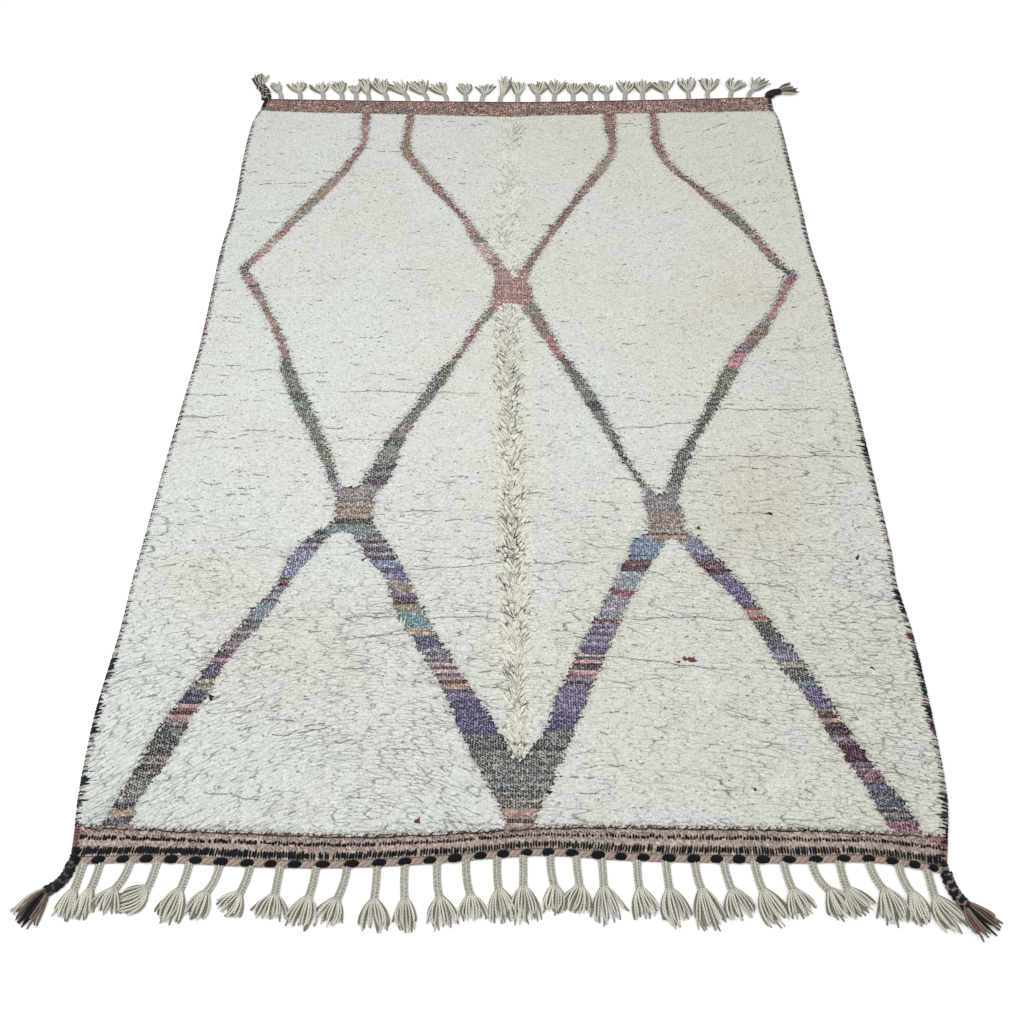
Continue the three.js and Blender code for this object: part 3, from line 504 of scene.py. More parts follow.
def bundle(name, material, parts):
    """One object from several sets of tubes: each part is what tubes gave, and a colour per point."""
    faces, shift = [], 0
    for points, (walls, caps), _, _, _ in parts:
        faces += [walls + shift, caps + shift]
        shift += len(points)
    points, _, uv, _, dye = zip(*parts)
    paints = {"dye": np.concatenate(dye)}
    return mesh_object(name, np.concatenate(points), faces, material, paints, np.concatenate(uv))


print("helpers for meshes are ready")

# %% [markdown]
# One small function adds a node with its settings and its inputs, where an input is a plain value
# or a pair of a node and the name of its output. All wool is matt: it is fuzzy, so light leaves it
# evenly, with a faint sheen at grazing angles and no clear highlight. What differs is the surface.

# %% Wool materials
def node(tree, kind, inputs=None, **settings):
    """Adds a node. Settings are its own options; inputs are values, or a node and its output's name."""
    made = tree.nodes.new(kind)
    for name, value in settings.items():
        setattr(made, name, value)
    for key, value in (inputs or {}).items():
        if isinstance(value, tuple) and isinstance(value[0], bpy.types.Node):
            tree.links.new(value[0].outputs[value[1]], made.inputs[key])
        else:
            made.inputs[key].default_value = value
    return made


WOOL_ROUGH, WOOL_SHINE, SHEEN_ROUGH = 0.95, 0.15, 0.6


def wool(name, sheen):
    """A wool material: its shader with steady values, and what its pattern is made from, which are
    the place on the object and the painted dye."""
    material = bpy.data.materials.new(name)
    material.use_nodes = True
    tree = material.node_tree
    tree.nodes.clear()
    steady = {"Roughness": WOOL_ROUGH, "Specular IOR Level": WOOL_SHINE}
    steady.update({"Sheen Weight": sheen, "Sheen Roughness": SHEEN_ROUGH})
    shader = node(tree, "ShaderNodeBsdfPrincipled", steady)
    node(tree, "ShaderNodeOutputMaterial", {"Surface": (shader, "BSDF")})
    place = node(tree, "ShaderNodeTexCoord"), "Object"
    return material, tree, shader, place, paint_of(tree, "dye", "Color")


def paint_of(tree, name, output):
    """A painted layer of the mesh, as a colour or as its brightness."""
    return node(tree, "ShaderNodeAttribute", attribute_name=name), output


def shade_of(tree, value, low, high, start=0.3, end=0.7):
    """A shade that runs from low to high while the value runs from start to end."""
    ends = {"From Min": start, "From Max": end, "To Min": low, "To Max": high}
    return node(tree, "ShaderNodeMapRange", {"Value": value, **ends}), "Result"


def math_node(tree, operation, *values, kind="ShaderNodeMath", output="Value"):
    """Works out one sum, product or the like of values or vectors, and gives its result."""
    return node(tree, kind, dict(enumerate(values)), operation=operation), output


def vector_node(tree, operation, *values, output="Vector"):
    """The same for vectors."""
    return math_node(tree, operation, *values, kind="ShaderNodeVectorMath", output=output)


def noise(tree, place, size, rough=0.5):
    """Cloudy noise whose largest spots are about the given size in millimetres."""
    settings = {"Vector": place, "Scale": 1 / (size * MM), "Detail": 2.0, "Roughness": rough}
    return node(tree, "ShaderNodeTexNoise", settings), "Fac"


def dyed(tree, shader, colour, shade, height, depth):
    """Feeds the shader: the colour times the shade, and a bump of the given depth."""
    mixed = node(tree, "ShaderNodeVectorMath", {0: colour, "Scale": shade}, operation="SCALE")
    tree.links.new(mixed.outputs["Vector"], shader.inputs["Base Color"])
    bump = node(tree, "ShaderNodeBump", {"Height": height, "Strength": 1.0, "Distance": depth})
    tree.links.new(bump.outputs["Normal"], shader.inputs["Normal"])


def wavy_lines(tree, place, size, thin, curl):
    """1 on thin wavy lines and falling to 0 beside them: the seams of cells of the given size in
    millimetres, pushed about by noise. Thin is a line's half width as a share of a cell."""
    stretched = vector_node(tree, "MULTIPLY", place, (1 / size[0], 1 / size[1], 0.0))
    push = {"Vector": stretched, "Scale": 1.1, "Detail": 2.0, "Roughness": 0.5}
    push = node(tree, "ShaderNodeTexNoise", push, noise_dimensions="2D"), "Color"
    pushed = vector_node(tree, "MULTIPLY_ADD", push, (curl, curl, 0.0), stretched)
    cells = {"feature": "DISTANCE_TO_EDGE", "voronoi_dimensions": "2D"}
    seams = node(tree, "ShaderNodeTexVoronoi", {"Vector": pushed, "Scale": 1.0}, **cells)
    return shade_of(tree, (seams, "Distance"), 1.0, 0.0, 0.0, thin)


# Cut pile: hand-spun wool whose yarn ends bloom where they are cut and felt together, so that only
# hairlines are left: short ones about the tufts, and here and there a long wavy one between rows.
# The hairlines are painted shade: the colour is darkened along them, as shade in the narrow gaps
# between tufts. Both follow the pile's thread map, and a painted layer says how dark that painted
# shade is at each place. A fine grain stands for the yarn ends.
TUFT_LINES, ROW_LINES, PILE_GRAIN = (34.0, 8.0), (150.0, 20.0), 3.2
pile_wool, tree, shader, place, dye = wool("cut_pile_wool", sheen=0.15)
thread = node(tree, "ShaderNodeUVMap", uv_map="thread"), "UV"
strokes = paint_of(tree, "strokes", "Fac")
half_width = shade_of(tree, strokes, 0.08, 0.17, 0.3, 1.0)
short = wavy_lines(tree, thread, TUFT_LINES, half_width, 0.5)
short = math_node(tree, "MULTIPLY", short, strokes)
short = math_node(tree, "MULTIPLY", short, shade_of(tree, noise(tree, place, 24.0), 0.25, 1.15, 0.38, 0.6))
long = wavy_lines(tree, thread, ROW_LINES, 0.035, 0.45)
long = math_node(tree, "MULTIPLY", long, shade_of(tree, noise(tree, place, 75.0), 0.0, 1.0, 0.48, 0.58))
long = math_node(tree, "MULTIPLY", long, shade_of(tree, strokes, 0.15, 0.75, 0.05, 0.35))
grain = shade_of(tree, noise(tree, place, PILE_GRAIN, 0.6), 0.83, 1.16)
shade = math_node(tree, "SUBTRACT", grain, math_node(tree, "MAXIMUM", short, long))
dyed(tree, shader, dye, shade, shade, 0.5 * MM)

# Flat weave: wefts that cover the warps, so each crossing is a bead of the stripe's yarn, nearly as
# tall as wide, and paler thread shows between the beads. Next columns are half a bead apart.
BEAD = (4.8 * MM, 4.6 * MM)
flat_wool, tree, shader, place, dye = wool("flat_woven_wool", sheen=0.05)
column = vector_node(tree, "DOT_PRODUCT", place, (1 / BEAD[0], 0.0, 0.0), output="Value")
row = vector_node(tree, "DOT_PRODUCT", place, (0.5 / BEAD[0], 1 / BEAD[1], 0.0), output="Value")
crossing = node(tree, "ShaderNodeCombineXYZ", {"X": column, "Y": row}), "Vector"
beads = {"Vector": crossing, "Scale": 1.0, "Randomness": 0.45}
beads = node(tree, "ShaderNodeTexVoronoi", beads, voronoi_dimensions="2D")
bead = shade_of(tree, (beads, "Distance"), 1.0, 0.0, 0.34, 0.6)
# A mix node of colours takes its factor, first and second colour at places 0, 6 and 7
mix = {0: bead, 6: paint_of(tree, "speck", "Color"), 7: dye}
woven_colour = node(tree, "ShaderNodeMix", mix, data_type="RGBA"), 2
uneven = shade_of(tree, (beads, "Color"), 0.65, 1.15, 0.1, 0.9)
dyed(tree, shader, woven_colour, uneven, bead, 0.9 * MM)

# Plied yarn: two threads twisted round each other. The thread map runs once round the yarn and
# along it in millimetres, so a sine of both draws the slanted plies at their real pitch.
PLIES, PLY_PITCH, FUZZ = 2, 5.0, 1.4
yarn_wool, tree, shader, place, dye = wool("plied_wool_yarn", sheen=0.04)
thread = node(tree, "ShaderNodeUVMap", uv_map="thread"), "UV"
slant = (2 * math.pi * PLIES, 2 * math.pi / PLY_PITCH, 0.0)
wave = math_node(tree, "SINE", vector_node(tree, "DOT_PRODUCT", thread, slant, output="Value"))
plies = math_node(tree, "MULTIPLY_ADD", wave, 0.3, noise(tree, place, FUZZ))
# The sine also paints shade into the colour: darker in the grooves between the plies, lighter on their
# crowns
dyed(tree, shader, dye, shade_of(tree, plies, 0.6, 1.1, 0.1, 0.9), plies, 0.9 * MM)
print("materials:", [material.name for material in (pile_wool, flat_wool, yarn_wool)])

# %% [markdown]
# The ground is the cloth that carries everything: one flat, closed sheet of wool, cut to the plan.
# It shows only in the gaps of the pile and underneath. The same function later makes each flat
# weave, as a slab over chosen cells of a grid: a top, an underside and a wall where a cell ends.

# %% The ground cloth
GROUND_TOP = 2.6


def woven_slab(name, x, y, top, thick, cells, dye, speck, material=flat_wool):
    """A closed slab over the chosen cells of a grid, whose corners lie at x, y and the height top.
    Its underside lies one thickness lower. dye and speck have a colour for each cell of the grid."""
    number = np.arange(x.size).reshape(x.shape)
    a, b, c, d = number[:-1, :-1], number[:-1, 1:], number[1:, 1:], number[1:, :-1]
    beside = np.pad(cells, 1)
    upper = np.stack([a, b, c, d], -1)[cells]
    faces, chosen = [upper, upper[:, ::-1] + x.size], [cells, cells]
    for p, q, other in (
        (a, b, beside[:-2, 1:-1]),
        (b, c, beside[1:-1, 2:]),
        (c, d, beside[2:, 1:-1]),
        (d, a, beside[1:-1, :-2]),
    ):
        rim = cells & ~other
        faces.append(np.stack([q, p, p + x.size, q + x.size], -1)[rim])
        chosen.append(rim)
    faces = np.concatenate(faces)
    used, renamed = np.unique(faces, return_inverse=True)
    upper_points = np.column_stack([x.ravel(), y.ravel(), top.ravel()])
    points = np.concatenate([upper_points, upper_points - [0.0, 0.0, thick]])[used]
    paints = {
        "dye": np.concatenate([dye[which] for which in chosen]),
        "speck": np.concatenate([speck[which] for which in chosen]),
    }
    return mesh_object(name, points, [renamed.reshape(faces.shape)], material, paints)


GROUND_CELLS, GROUND_FROM, GROUND_WIDE = (32, 44), -775, 1550
share_x, share_y = np.meshgrid(*(np.linspace(0, 1, cells + 1) for cells in GROUND_CELLS))
level_x = GROUND_FROM + GROUND_WIDE * share_x
y = (1 - share_y) * across(ENDS, level_x, NEAR_EDGE) + share_y * across(ENDS, level_x, FAR_EDGE)
x = (1 - share_x) * cloth_side(LEFT, y) + share_x * cloth_side(RIGHT, y)
everywhere = np.ones((GROUND_CELLS[1], GROUND_CELLS[0]), bool)
top = np.full(x.shape, GROUND_TOP)
dye, speck = (np.broadcast_to(linear(own), (*everywhere.shape, 3)) for own in ("#a9a391", "#c9c4b3"))
ground = woven_slab("wool_ground", x, y, top, GROUND_TOP, everywhere, dye, speck)

# %% [markdown]
# The lattice is woven flat: its wefts cover the warps, and where a light thread shows between them
# the band looks like salt and pepper. One cell of the grid is about one crossing. Its height changes
# from crossing to crossing, and so do its two colours, as the yarn is unevenly dyed and spun. The
# cells reach a little way under the pile, so that no gap shows at a ragged rim.

# %% The flat-woven lattice
CROSSING = (4.8, 3.8)
WEAVE_TOP, WEAVE_THICK, WEAVE_RELIEF = 4.5, 1.7, 0.5
# How far the weave reaches under the pile beside it, at the bands' ends, and at the rug's own ends
UNDER_PILE, UNDER_NEXT, UNDER_ENDS = 6.0, 4.0, 4
# The weave rises this much over this width at its rims, to meet the roots of the pile
RIM_RISE, RIM_WIDTH = 4.5, 4.0
HALF_WAY = -20.0


def speckled(yarn, i, j, seed, missing=0.12):
    """Two colours for each crossing: its yarn and its speck. The yarn is uneven from crossing to
    crossing and from pick to pick, and at a few places it hides under a paler thread."""
    uneven = 0.75 + 0.5 * scatter(i * 7 + j * 311, seed)
    uneven = uneven * (0.6 + 0.8 * scatter(j * 17 + i // 16, seed + 1))
    hidden = scatter(i * 57 + j * 131, seed + 2) < missing
    own, speck = OWN_COLOUR[yarn], SPECK_COLOUR[yarn]
    own = np.where(hidden[..., None], 0.4 * own + 0.6 * speck, own) * uneven[..., None]
    return own, speck * (0.85 + 0.3 * scatter(i * 23 + j * 71, seed + 3))[..., None]


def weave_relief(shape, deep=WEAVE_RELIEF):
    """Heights of a grid's corners: up and down in turn, as threads pass over and under."""
    i, j = np.meshgrid(np.arange(shape[1]), np.arange(shape[0]))
    return deep * (1.0 - 2.0 * ((i + j) % 2)) * (0.3 + 1.2 * scatter(i * 3 + j * 97, 9.0))


WEAVE_X, WEAVE_Y = (-806.0, 824.0), (-1100.0, 1100.0)
corner_x, corner_y = np.meshgrid(np.arange(*WEAVE_X, CROSSING[0]), np.arange(*WEAVE_Y, CROSSING[1]))
i, j = np.meshgrid(np.arange(corner_x.shape[1] - 1), np.arange(corner_x.shape[0] - 1))
x, y = corner_x[:-1, :-1] + CROSSING[0] / 2, corner_y[:-1, :-1] + CROSSING[1] / 2
depth, band_of = lattice_reach(x, y, UNDER_NEXT)
woven = depth > -UNDER_PILE
woven &= (y > across(ENDS, x, NEAR_PILE) - UNDER_ENDS) & (y < across(ENDS, x, FAR_PILE) + UNDER_ENDS)
woven &= (x > cloth_side(LEFT, y) + 2) & (x < cloth_side(RIGHT, y) - 2)
yarn = np.zeros(x.shape, int)
wavy_y = y + 2.5 * drift(x, y, 40.0, 5.0)
for n, name in enumerate(BANDS):
    yarn = np.where(band_of == n, yarn_of(name, wavy_y, j), yarn)
dye, speck = speckled(yarn, i, j, 11.0)
# The tall pile beside a band keeps the light from its rims, more so on the near half of the rug
least = 0.85 - 0.25 * ramp(y, 100, -200)
rim_shade = (least + (1 - least) * ramp(depth + 3.0 - overhang(y), 0, RIM_WIDTH))[..., None]
dye, speck = dye * rim_shade, speck * rim_shade
corner_depth, _ = lattice_reach(corner_x, corner_y, UNDER_NEXT)
rise = RIM_RISE * ramp(2.5 + overhang(corner_y) - corner_depth, 0, RIM_WIDTH)
top = WEAVE_TOP + rise + weave_relief(corner_x.shape)
lattice = [
    woven_slab(name, corner_x, corner_y, top, WEAVE_THICK, woven & half, dye, speck)
    for name, half in (("lattice_weave_far", y >= HALF_WAY), ("lattice_weave_near", y < HALF_WAY))
]

# %% [markdown]
# Both ends of the cloth are kilim bands that follow the rug's curved edge. The far one is brick
# coloured with pale threads between. The near one is greyish beige at the edge and dusty pink above
# it, and on it run a row of tall dark dashes along the edge and a row of short ones over its middle:
# dark wefts that float over one warp and dive under the next. The dashes are flattened threads of
# their own, thinner where they dive.

# %% The kilim bands at the ends
BAND_LENGTH = 1556
NEAR_PICKS, FAR_PICKS = 12, 14
NEAR_COLUMN, FAR_COLUMN = 5.0, 5.6
BAND_OVER_PILE = 5.0
BAND_TOP = WEAVE_TOP + 0.6
# The near band's picks, from the edge: the pick where each stripe ends, its base yarn
NEAR_ROWS = [(3, "tan"), (12, "pink_tan")]
# Past these places the near band's upper picks are rose, and below this pick it is a little paler
ROSE_ENDS, ROSE_ABOVE, PALER_BELOW = (-752.0, 748.0), 6, 8


def end_band(column_width, picks, edge, pile):
    """The grid of an end band: even columns from side to side, and picks from the cloth's edge to a
    little way under its pile. Gives the corners' x and y, and the cells' column and pick."""
    places = np.linspace(0, 1, int(BAND_LENGTH / column_width) + 1)
    part, pick = np.meshgrid(places, np.linspace(0, 1, picks + 1))
    (left_x, _), (right_x, _) = corner(LEFT, edge), corner(RIGHT, edge)
    x = left_x + (right_x - left_x) * part
    start = across(ENDS, x, edge)
    end = across(ENDS, x, pile) + BAND_OVER_PILE * np.sign(across(ENDS, x, pile) - start)
    y = start + (end - start) * pick
    side = cloth_side(LEFT, y) * (1 - part) + cloth_side(RIGHT, y) * part
    i, j = np.meshgrid(np.arange(len(places) - 1), np.arange(picks))
    return side, y, i, j


x, y, i, j = end_band(NEAR_COLUMN, NEAR_PICKS, NEAR_EDGE, NEAR_PILE)
middle_x = (x[:-1, :-1] + x[:-1, 1:]) / 2
ends = np.array([end for end, _ in NEAR_ROWS])
base = np.array([YARN_NAMES.index(name) for _, name in NEAR_ROWS])[np.searchsorted(ends, j, side="right")]
rose = ((middle_x < ROSE_ENDS[0]) | (middle_x > ROSE_ENDS[1])) & (j > ROSE_ABOVE)
base = np.where(rose, YARN_NAMES.index("rose"), base)
dye, speck = speckled(base, i, j, 34.0, missing=0.25)
paled = np.where(j < PALER_BELOW, 0.2, 0.0)[..., None]
dye = (1 - paled) * dye + paled * speck
top = BAND_TOP + weave_relief(x.shape, 0.35)
near_band = woven_slab("near_kilim_band", x, y, top, WEAVE_THICK, np.ones(i.shape, bool), dye, speck)

# Rows of dashes: their pitch, from and to as shares of the band's depth, half width, lean, seed
DASH_ROWS = [(5.0, 0.0, 0.31, 1.95, 3.0, 31.0), (5.2, 0.5, 0.67, 1.9, 1.0, 35.0)]
DASH_ENDS = (-769.0, 771.0)
DASH_COLOUR = linear("#101018")
dash_threads = []
for pitch, low, high, wide, lean, seed in DASH_ROWS:
    dash = np.arange(int((DASH_ENDS[1] - DASH_ENDS[0]) / pitch))
    dash = dash[scatter(dash, seed) > 0.03]
    dash_x = DASH_ENDS[0] + pitch * (dash + 0.5 + 0.25 * (scatter(dash, seed + 1) - 0.5))
    edge_y = across(ENDS, dash_x, NEAR_EDGE)
    deep = across(ENDS, dash_x, NEAR_PILE) + BAND_OVER_PILE - edge_y
    wander = 0.02 * drift(dash_x, 0, 60.0, seed)
    start = low + 0.05 * (scatter(dash, seed + 2) > 0.7) + wander
    stop = high + 0.1 * (scatter(dash, seed + 3) - 0.6) + wander
    t = np.array([0.0, 0.2, 0.5, 0.8, 1.0])
    leaning = lean * (0.4 + drift(dash_x, 0, 90.0, seed + 1) + 0.8 * (scatter(dash, seed + 4) - 0.5))
    dash_y = (edge_y + deep * start)[:, None] + (deep * (stop - start))[:, None] * t
    height = WEAVE_TOP + 0.5 + np.array([0.2, 0.9, 1.1, 0.9, 0.2])
    swaying_x = dash_x[:, None] + leaning[:, None] * (t - 0.5)
    paths = np.stack(np.broadcast_arrays(swaying_x, dash_y, height), -1)
    thick = (0.7 + 0.65 * scatter(dash, seed + 5))[:, None] * np.array([0.25, 0.95, 1.0, 0.9, 0.25])
    fuller = 1 + 0.25 * ramp(dash_x, -100, -400)[:, None]
    threads = tubes(paths, wide * fuller * thick, 0.9 * np.array([0.4, 1.0, 1.0, 1.0, 0.4]), 5)
    dash_threads.append((*threads, DASH_COLOUR * (0.6 + 0.8 * scatter(threads[3], seed + 6))[:, None]))

# The far band is brick with brown patches four columns long and a few maroon crossings, and its light
# and dark blots come from three sizes of patch
x, y, i, j = (grid[::-1] for grid in end_band(FAR_COLUMN, FAR_PICKS, FAR_EDGE, FAR_PILE))
yarn = np.where(scatter(i // 4 + 19 * (j // 2), 42.0) < 0.3, "brown", "kilim_brick")
yarn = np.where(scatter(i + 77 * j, 41.0) < 0.06, "maroon", yarn)
dye, speck = speckled(np.searchsorted(YARN_NAMES, yarn), i, j, 43.0)
blots = 0.8 + 0.35 * scatter(i // 9, 45.0) * scatter(j // 3 + 7 * (i // 14), 46.0)
blots = (blots * (0.72 + 0.56 * scatter(i // 2 + 57 * (j // 2), 47.0)))[..., None]
top = BAND_TOP + weave_relief(x.shape)
everywhere = np.ones(i.shape, bool)
far_band = woven_slab("far_kilim_band", x, y, top, WEAVE_THICK, everywhere, dye * blots, speck * blots)

# %% [markdown]
# The pile is wool knotted in rows and cut. A real rug has far more yarn ends than can be built; from
# a step away they gather into tufts some 6 mm wide that lie over each other like scales, and those
# are what is built here. Each stands on a point, spreads to a three-cornered cap that slopes very
# little, and has six triangles, so that over eighty thousand of them stay light. The caps are laid
# out on an uneven grid, because they are what shows. Before that, this cell says in small formulas
# how the pile stands anywhere: its height, its rims, its lie, its lines and its creases.

# %% How the pile stands
# The grid of tufts: its pitch, where it starts, how far it goes, and how far a tuft may stand off it
TUFT_PITCH, TUFTS_FROM, TUFTS_SPAN, TUFT_OFF = (5.7, 6.3), (-815, -1102), (1640, 2200), 0.8
PILE_TOP, ROOT_HEIGHT = 14.2, 2.4
# The pile hides this much of the overcast sides, a bold yarn bites at most this much back, and it
# does so anew at every few rows
OVER_SIDE, BITTEN, SIDE_ROW = 7.0, 6.5, 9.0
# The parting that runs down the rug: y, x
PARTING = [(-950, 20), (-700, 13), (0, -10), (400, -19), (700, -20), (1000, -13)]
# Half the width of the combed strip along the parting: y, half width
PARTED = [(-960, 14), (-900, 22), (-700, 29), (-300, 33), (100, 36), (260, 38), (600, 44), (1000, 42)]


def parting_at(y):
    """X of the parting that runs down the rug, nearly straight."""
    return across(PARTING, y, 1)


def parted_share(x, y):
    """1 in the combed strip along the parting, and 0 outside it, with an uneven rim."""
    half = across(PARTED, y, 1) + 14.0 * drift(x, y, 22.0, 53.0)
    return 1 / (1 + np.exp((np.abs(x - parting_at(y)) - half + 4.0) / 7.0))


def pile_height(x, y):
    """The height of the pile's surface: gently uneven, and a little lower in the combed strip."""
    swell = 1.0 * drift(x, y, 60.0, 81.0) + 0.4 * drift(x, y, 16.0, 82.0)
    return PILE_TOP + swell - 1.8 * parted_share(x, y)


def inside_pile(x, y, ragged=0.0):
    """How far a place lies inside the pile, measured along X or Y to the nearest lattice band, side or
    end. The pile leans over the bands by the overhang, and hides part of the overcast edge, less
    where the side yarn is bold."""
    depth, _ = lattice_reach(x, y, ragged=ragged)
    row = np.floor(y / SIDE_ROW)
    left = x - cloth_side(LEFT, y) + OVER_SIDE - BITTEN * boldness(LEFT, y) * scatter(row, 75.0)
    right = cloth_side(RIGHT, y) - x + OVER_SIDE - BITTEN * boldness(RIGHT, y) * scatter(row, 77.0)
    near = y - across(ENDS, x, NEAR_PILE)
    far = across(ENDS, x, FAR_PILE) - y
    return np.minimum.reduce([overhang(y) - depth, left, right, near, far])


def lie(x, y):
    """The direction in which tufts lie, as an angle from the rug's right: level over most of the rug,
    rising to the right in the near left part and the far right part, and wavy all over."""
    near_left = ramp(x, -50, -400) * ramp(y, -600, -950)
    far_right = ramp(x, 150, 350) * ramp(y, 150, 350)
    near_right = ramp(x, 200, 600) * ramp(y, 0, -300)
    near_end = 0.5 * ramp(y, -980, -1070)
    turned = 0.5 * near_left + 0.7 * far_right - 0.25 * near_right + near_end
    return turned + 0.45 * drift(x, y, 55.0, 54.0)


def tilted_rows(x, y):
    """Y with the rows' slant taken out: they rise to the right in the near left and the far right
    parts of the rug, and fall a little in the near right part."""
    near_left = ramp(x, -50, -450) * ramp(y, -600, -1000)
    far_right = ramp(x, 150, 400) * ramp(y, -150, 450)
    slanted = y - 0.5 * near_left * (x + 480) - 0.45 * far_right * (x - 450)
    return slanted + 0.12 * np.clip(x - 200, 0, 600) * (1 - far_right)


def pile_map(x, y, combed):
    """The pile's thread map in millimetres: along the rows and across them, and in the combed strip
    up the rug and across strands that open like a feather from the parting."""
    beside = x - parting_at(y)
    strand = 0.95 * y + 0.6 * np.abs(beside) + 37.0 * (beside > 0)
    opening = 0.8 * np.abs(beside) - 0.5 * y + 23.0 * (beside > 0)
    along, sideways = np.where(combed, strand, x), np.where(combed, opening, tilted_rows(x, y))
    return np.stack([along, sideways], -1)


def gap_shade_strength(x, y):
    """How dark the painted shade in the lines between the tufts is, from 0 to 1: more at the near
    end, mostly on its left, and at the right."""
    near = ramp(y, -100, -550)
    near_left = ramp(y, -450, -750) * ramp(x, 50, -100)
    right = ramp(x, 400, 650) * ramp(y, 300, 0)
    worn = 0.07 + 0.3 * near + 0.18 * near_left + 0.2 * right
    return np.clip(worn + 0.08 * drift(x, y, 90.0, 57.0), 0.02, 0.8)


# Long creases across the pile where two rows of knots stand apart: left end x, y, right end x, y
CREASES = [
    (-777, -122, -671, -124), (-421, -45, -77, -50), (-405, -193, -279, -190), (202, -163, 434, -138),
    (479, -102, 739, -100), (418, -241, 783, -238), (-252, -393, -133, -390), (-220, -541, -21, -521),
    (52, -523, 189, -520), (-165, -658, -25, -655), (234, -656, 507, -652), (-335, -654, -182, -651),
    (180, -737, 434, -768), (-142, -511, -22, -508), (-564, -1016, -451, -1034), (-339, -706, -180, -687),
    (-353, -762, -273, -772), (-451, -908, -338, -894),
]
CREASE_ROW, WIDEST_CREASE = 16.0, 1.7
# Gaps below this are left alone, and a long crease moves only caps that lie this near to it
LEAST_GAP, NEAR_CREASE, FAR_AWAY = 0.25, 20, 1e3


def creases(x, y):
    """Small creases as a field: the place across them, counted in rows, and the gap in millimetres.
    They follow wavy rows and open where a slow noise along a row is high, more often on the near
    half of the rug, at the sides, and beside the lattice."""
    wavy = 7.0 * drift(x, y, 60.0, 61.0) + 4.0 * drift(x, y, 20.0, 62.0) + 1.5 * drift(x, y, 8.0, 68.0)
    rows = (tilted_rows(x, y) + wavy) / CREASE_ROW
    row = np.floor(rows)
    amount = 0.15 * ramp(y, 300, -200) + 0.14 * ramp(np.abs(x), 450, 700) - 0.08
    depth, _ = lattice_reach(x, y)
    amount = amount + 0.4 * np.exp(-np.clip(-depth, 0, 200) / 14.0)
    noise = drift(x + 91 * row, row * 37.0, 50.0, 63.0) + 0.3 * drift(x + 31 * row, row * 17.0, 9.0, 65.0)
    gap = np.clip(2.5 * (noise + amount - 0.52), 0, 1)
    return rows, gap * (0.6 + 0.7 * scatter(row * 7 + np.floor(x / 60), 66.0))


def long_crease(x, y):
    """Signed distance to the nearest long crease of the table, and its gap in millimetres."""
    distance, gap = np.full(x.shape, FAR_AWAY), np.zeros(x.shape)
    for x0, y0, x1, y1 in CREASES:
        line = y0 + (y1 - y0) * (x - x0) / (x1 - x0) + 5.0 * drift(x, x * 0 + y0, 30.0, 64.0)
        closer = (x > x0) & (x < x1) & (np.abs(y - line) < np.abs(distance))
        distance = np.where(closer, y - line, distance)
        taper = np.clip(np.minimum(x - x0, x1 - x) / 30.0, 0.2, 1)
        wide = WIDEST_CREASE * taper * (0.6 + 0.4 * drift(x, 0, 25.0, 67.0))
        gap = np.where(closer, wide, gap)
    return distance, gap


def keep_clear(cap_x, cap_y, tip_x, tip_y):
    """Moves the corners of each cap back to its own side of every crease that it would cross."""
    rows, gap = creases(cap_x, cap_y)
    own_rows, _ = creases(tip_x, tip_y)
    line = np.floor(rows) + 0.5
    side = np.sign(own_rows - line)
    wanted = line + side * gap / 2 / CREASE_ROW
    crossing = (gap > LEAST_GAP) & (side * (rows - wanted) < 0)
    cap_y = np.where(crossing, cap_y + (wanted - rows) * CREASE_ROW, cap_y)
    distance, gap = long_crease(cap_x, cap_y)
    own_distance, _ = long_crease(tip_x, tip_y)
    side = np.sign(own_distance)
    crossing = (np.abs(distance) < NEAR_CREASE) & (np.abs(own_distance) < NEAR_CREASE)
    crossing &= side * distance < gap / 2
    return np.where(crossing, cap_y + side * gap / 2 - distance, cap_y)


columns, rows = (int(span / pitch) for span, pitch in zip(TUFTS_SPAN, TUFT_PITCH))
i, j = np.meshgrid(np.arange(columns), np.arange(rows))
n = (j * columns + i).ravel()
tip_x = (TUFTS_FROM[0] + TUFT_PITCH[0] * (i + 0.5 * (j % 2))).ravel()
tip_x = tip_x + TUFT_PITCH[0] * TUFT_OFF * (scatter(n, 71.0) - 0.5)
tip_y = (TUFTS_FROM[1] + TUFT_PITCH[1] * j).ravel()
tip_y = tip_y + TUFT_PITCH[1] * TUFT_OFF * (scatter(n, 72.0) - 0.5)
end_step = 1.6 * (scatter(np.floor(tip_x / 8.0), 76.0) - 0.5)
to_rim = inside_pile(tip_x, tip_y + end_step, RIM_RAGGED)
kept = to_rim > 0
n, tip_x, tip_y, to_rim = (row[kept] for row in (n, tip_x, tip_y, to_rim))
parted = parted_share(tip_x, tip_y)
print(len(n), "tufts of pile")

# %% [markdown]
# Between the tufts one sees a little way down, into wool that is packed too densely to be seen
# through. So a solid body of wool fills the pile up to a few millimetres under the tips. It starts as
# a square grid; the corners that fall near a rim are pulled inwards along the slope of the distance
# to the rim, so that the body ends just inside the outermost tufts.

# %% The body of the pile
BODY_CELL, BODY_INSIDE, BODY_BELOW, BODY_THICK = 20.0, 4.0, 3.2, 7.0
BODY_X, BODY_Y = (-812.0, 828.0), (-1106.0, 1098.0)
x, y = np.meshgrid(np.arange(*BODY_X, BODY_CELL), np.arange(*BODY_Y, BODY_CELL))
inside = inside_pile(x, y)
slope_x = (inside_pile(x + 1, y) - inside_pile(x - 1, y)) / 2
slope_y = (inside_pile(x, y + 1) - inside_pile(x, y - 1)) / 2
steep = np.maximum(slope_x**2 + slope_y**2, 0.5)
pull = np.clip(BODY_INSIDE - inside, 0, 0.8 * BODY_CELL) * (np.abs(slope_x) < 5)
x, y = x + pull * slope_x / steep, y + pull * slope_y / steep
usable = inside_pile(x, y) > 0.4 * BODY_INSIDE
cells = usable[:-1, :-1] & usable[1:, :-1] & usable[:-1, 1:] & usable[1:, 1:]
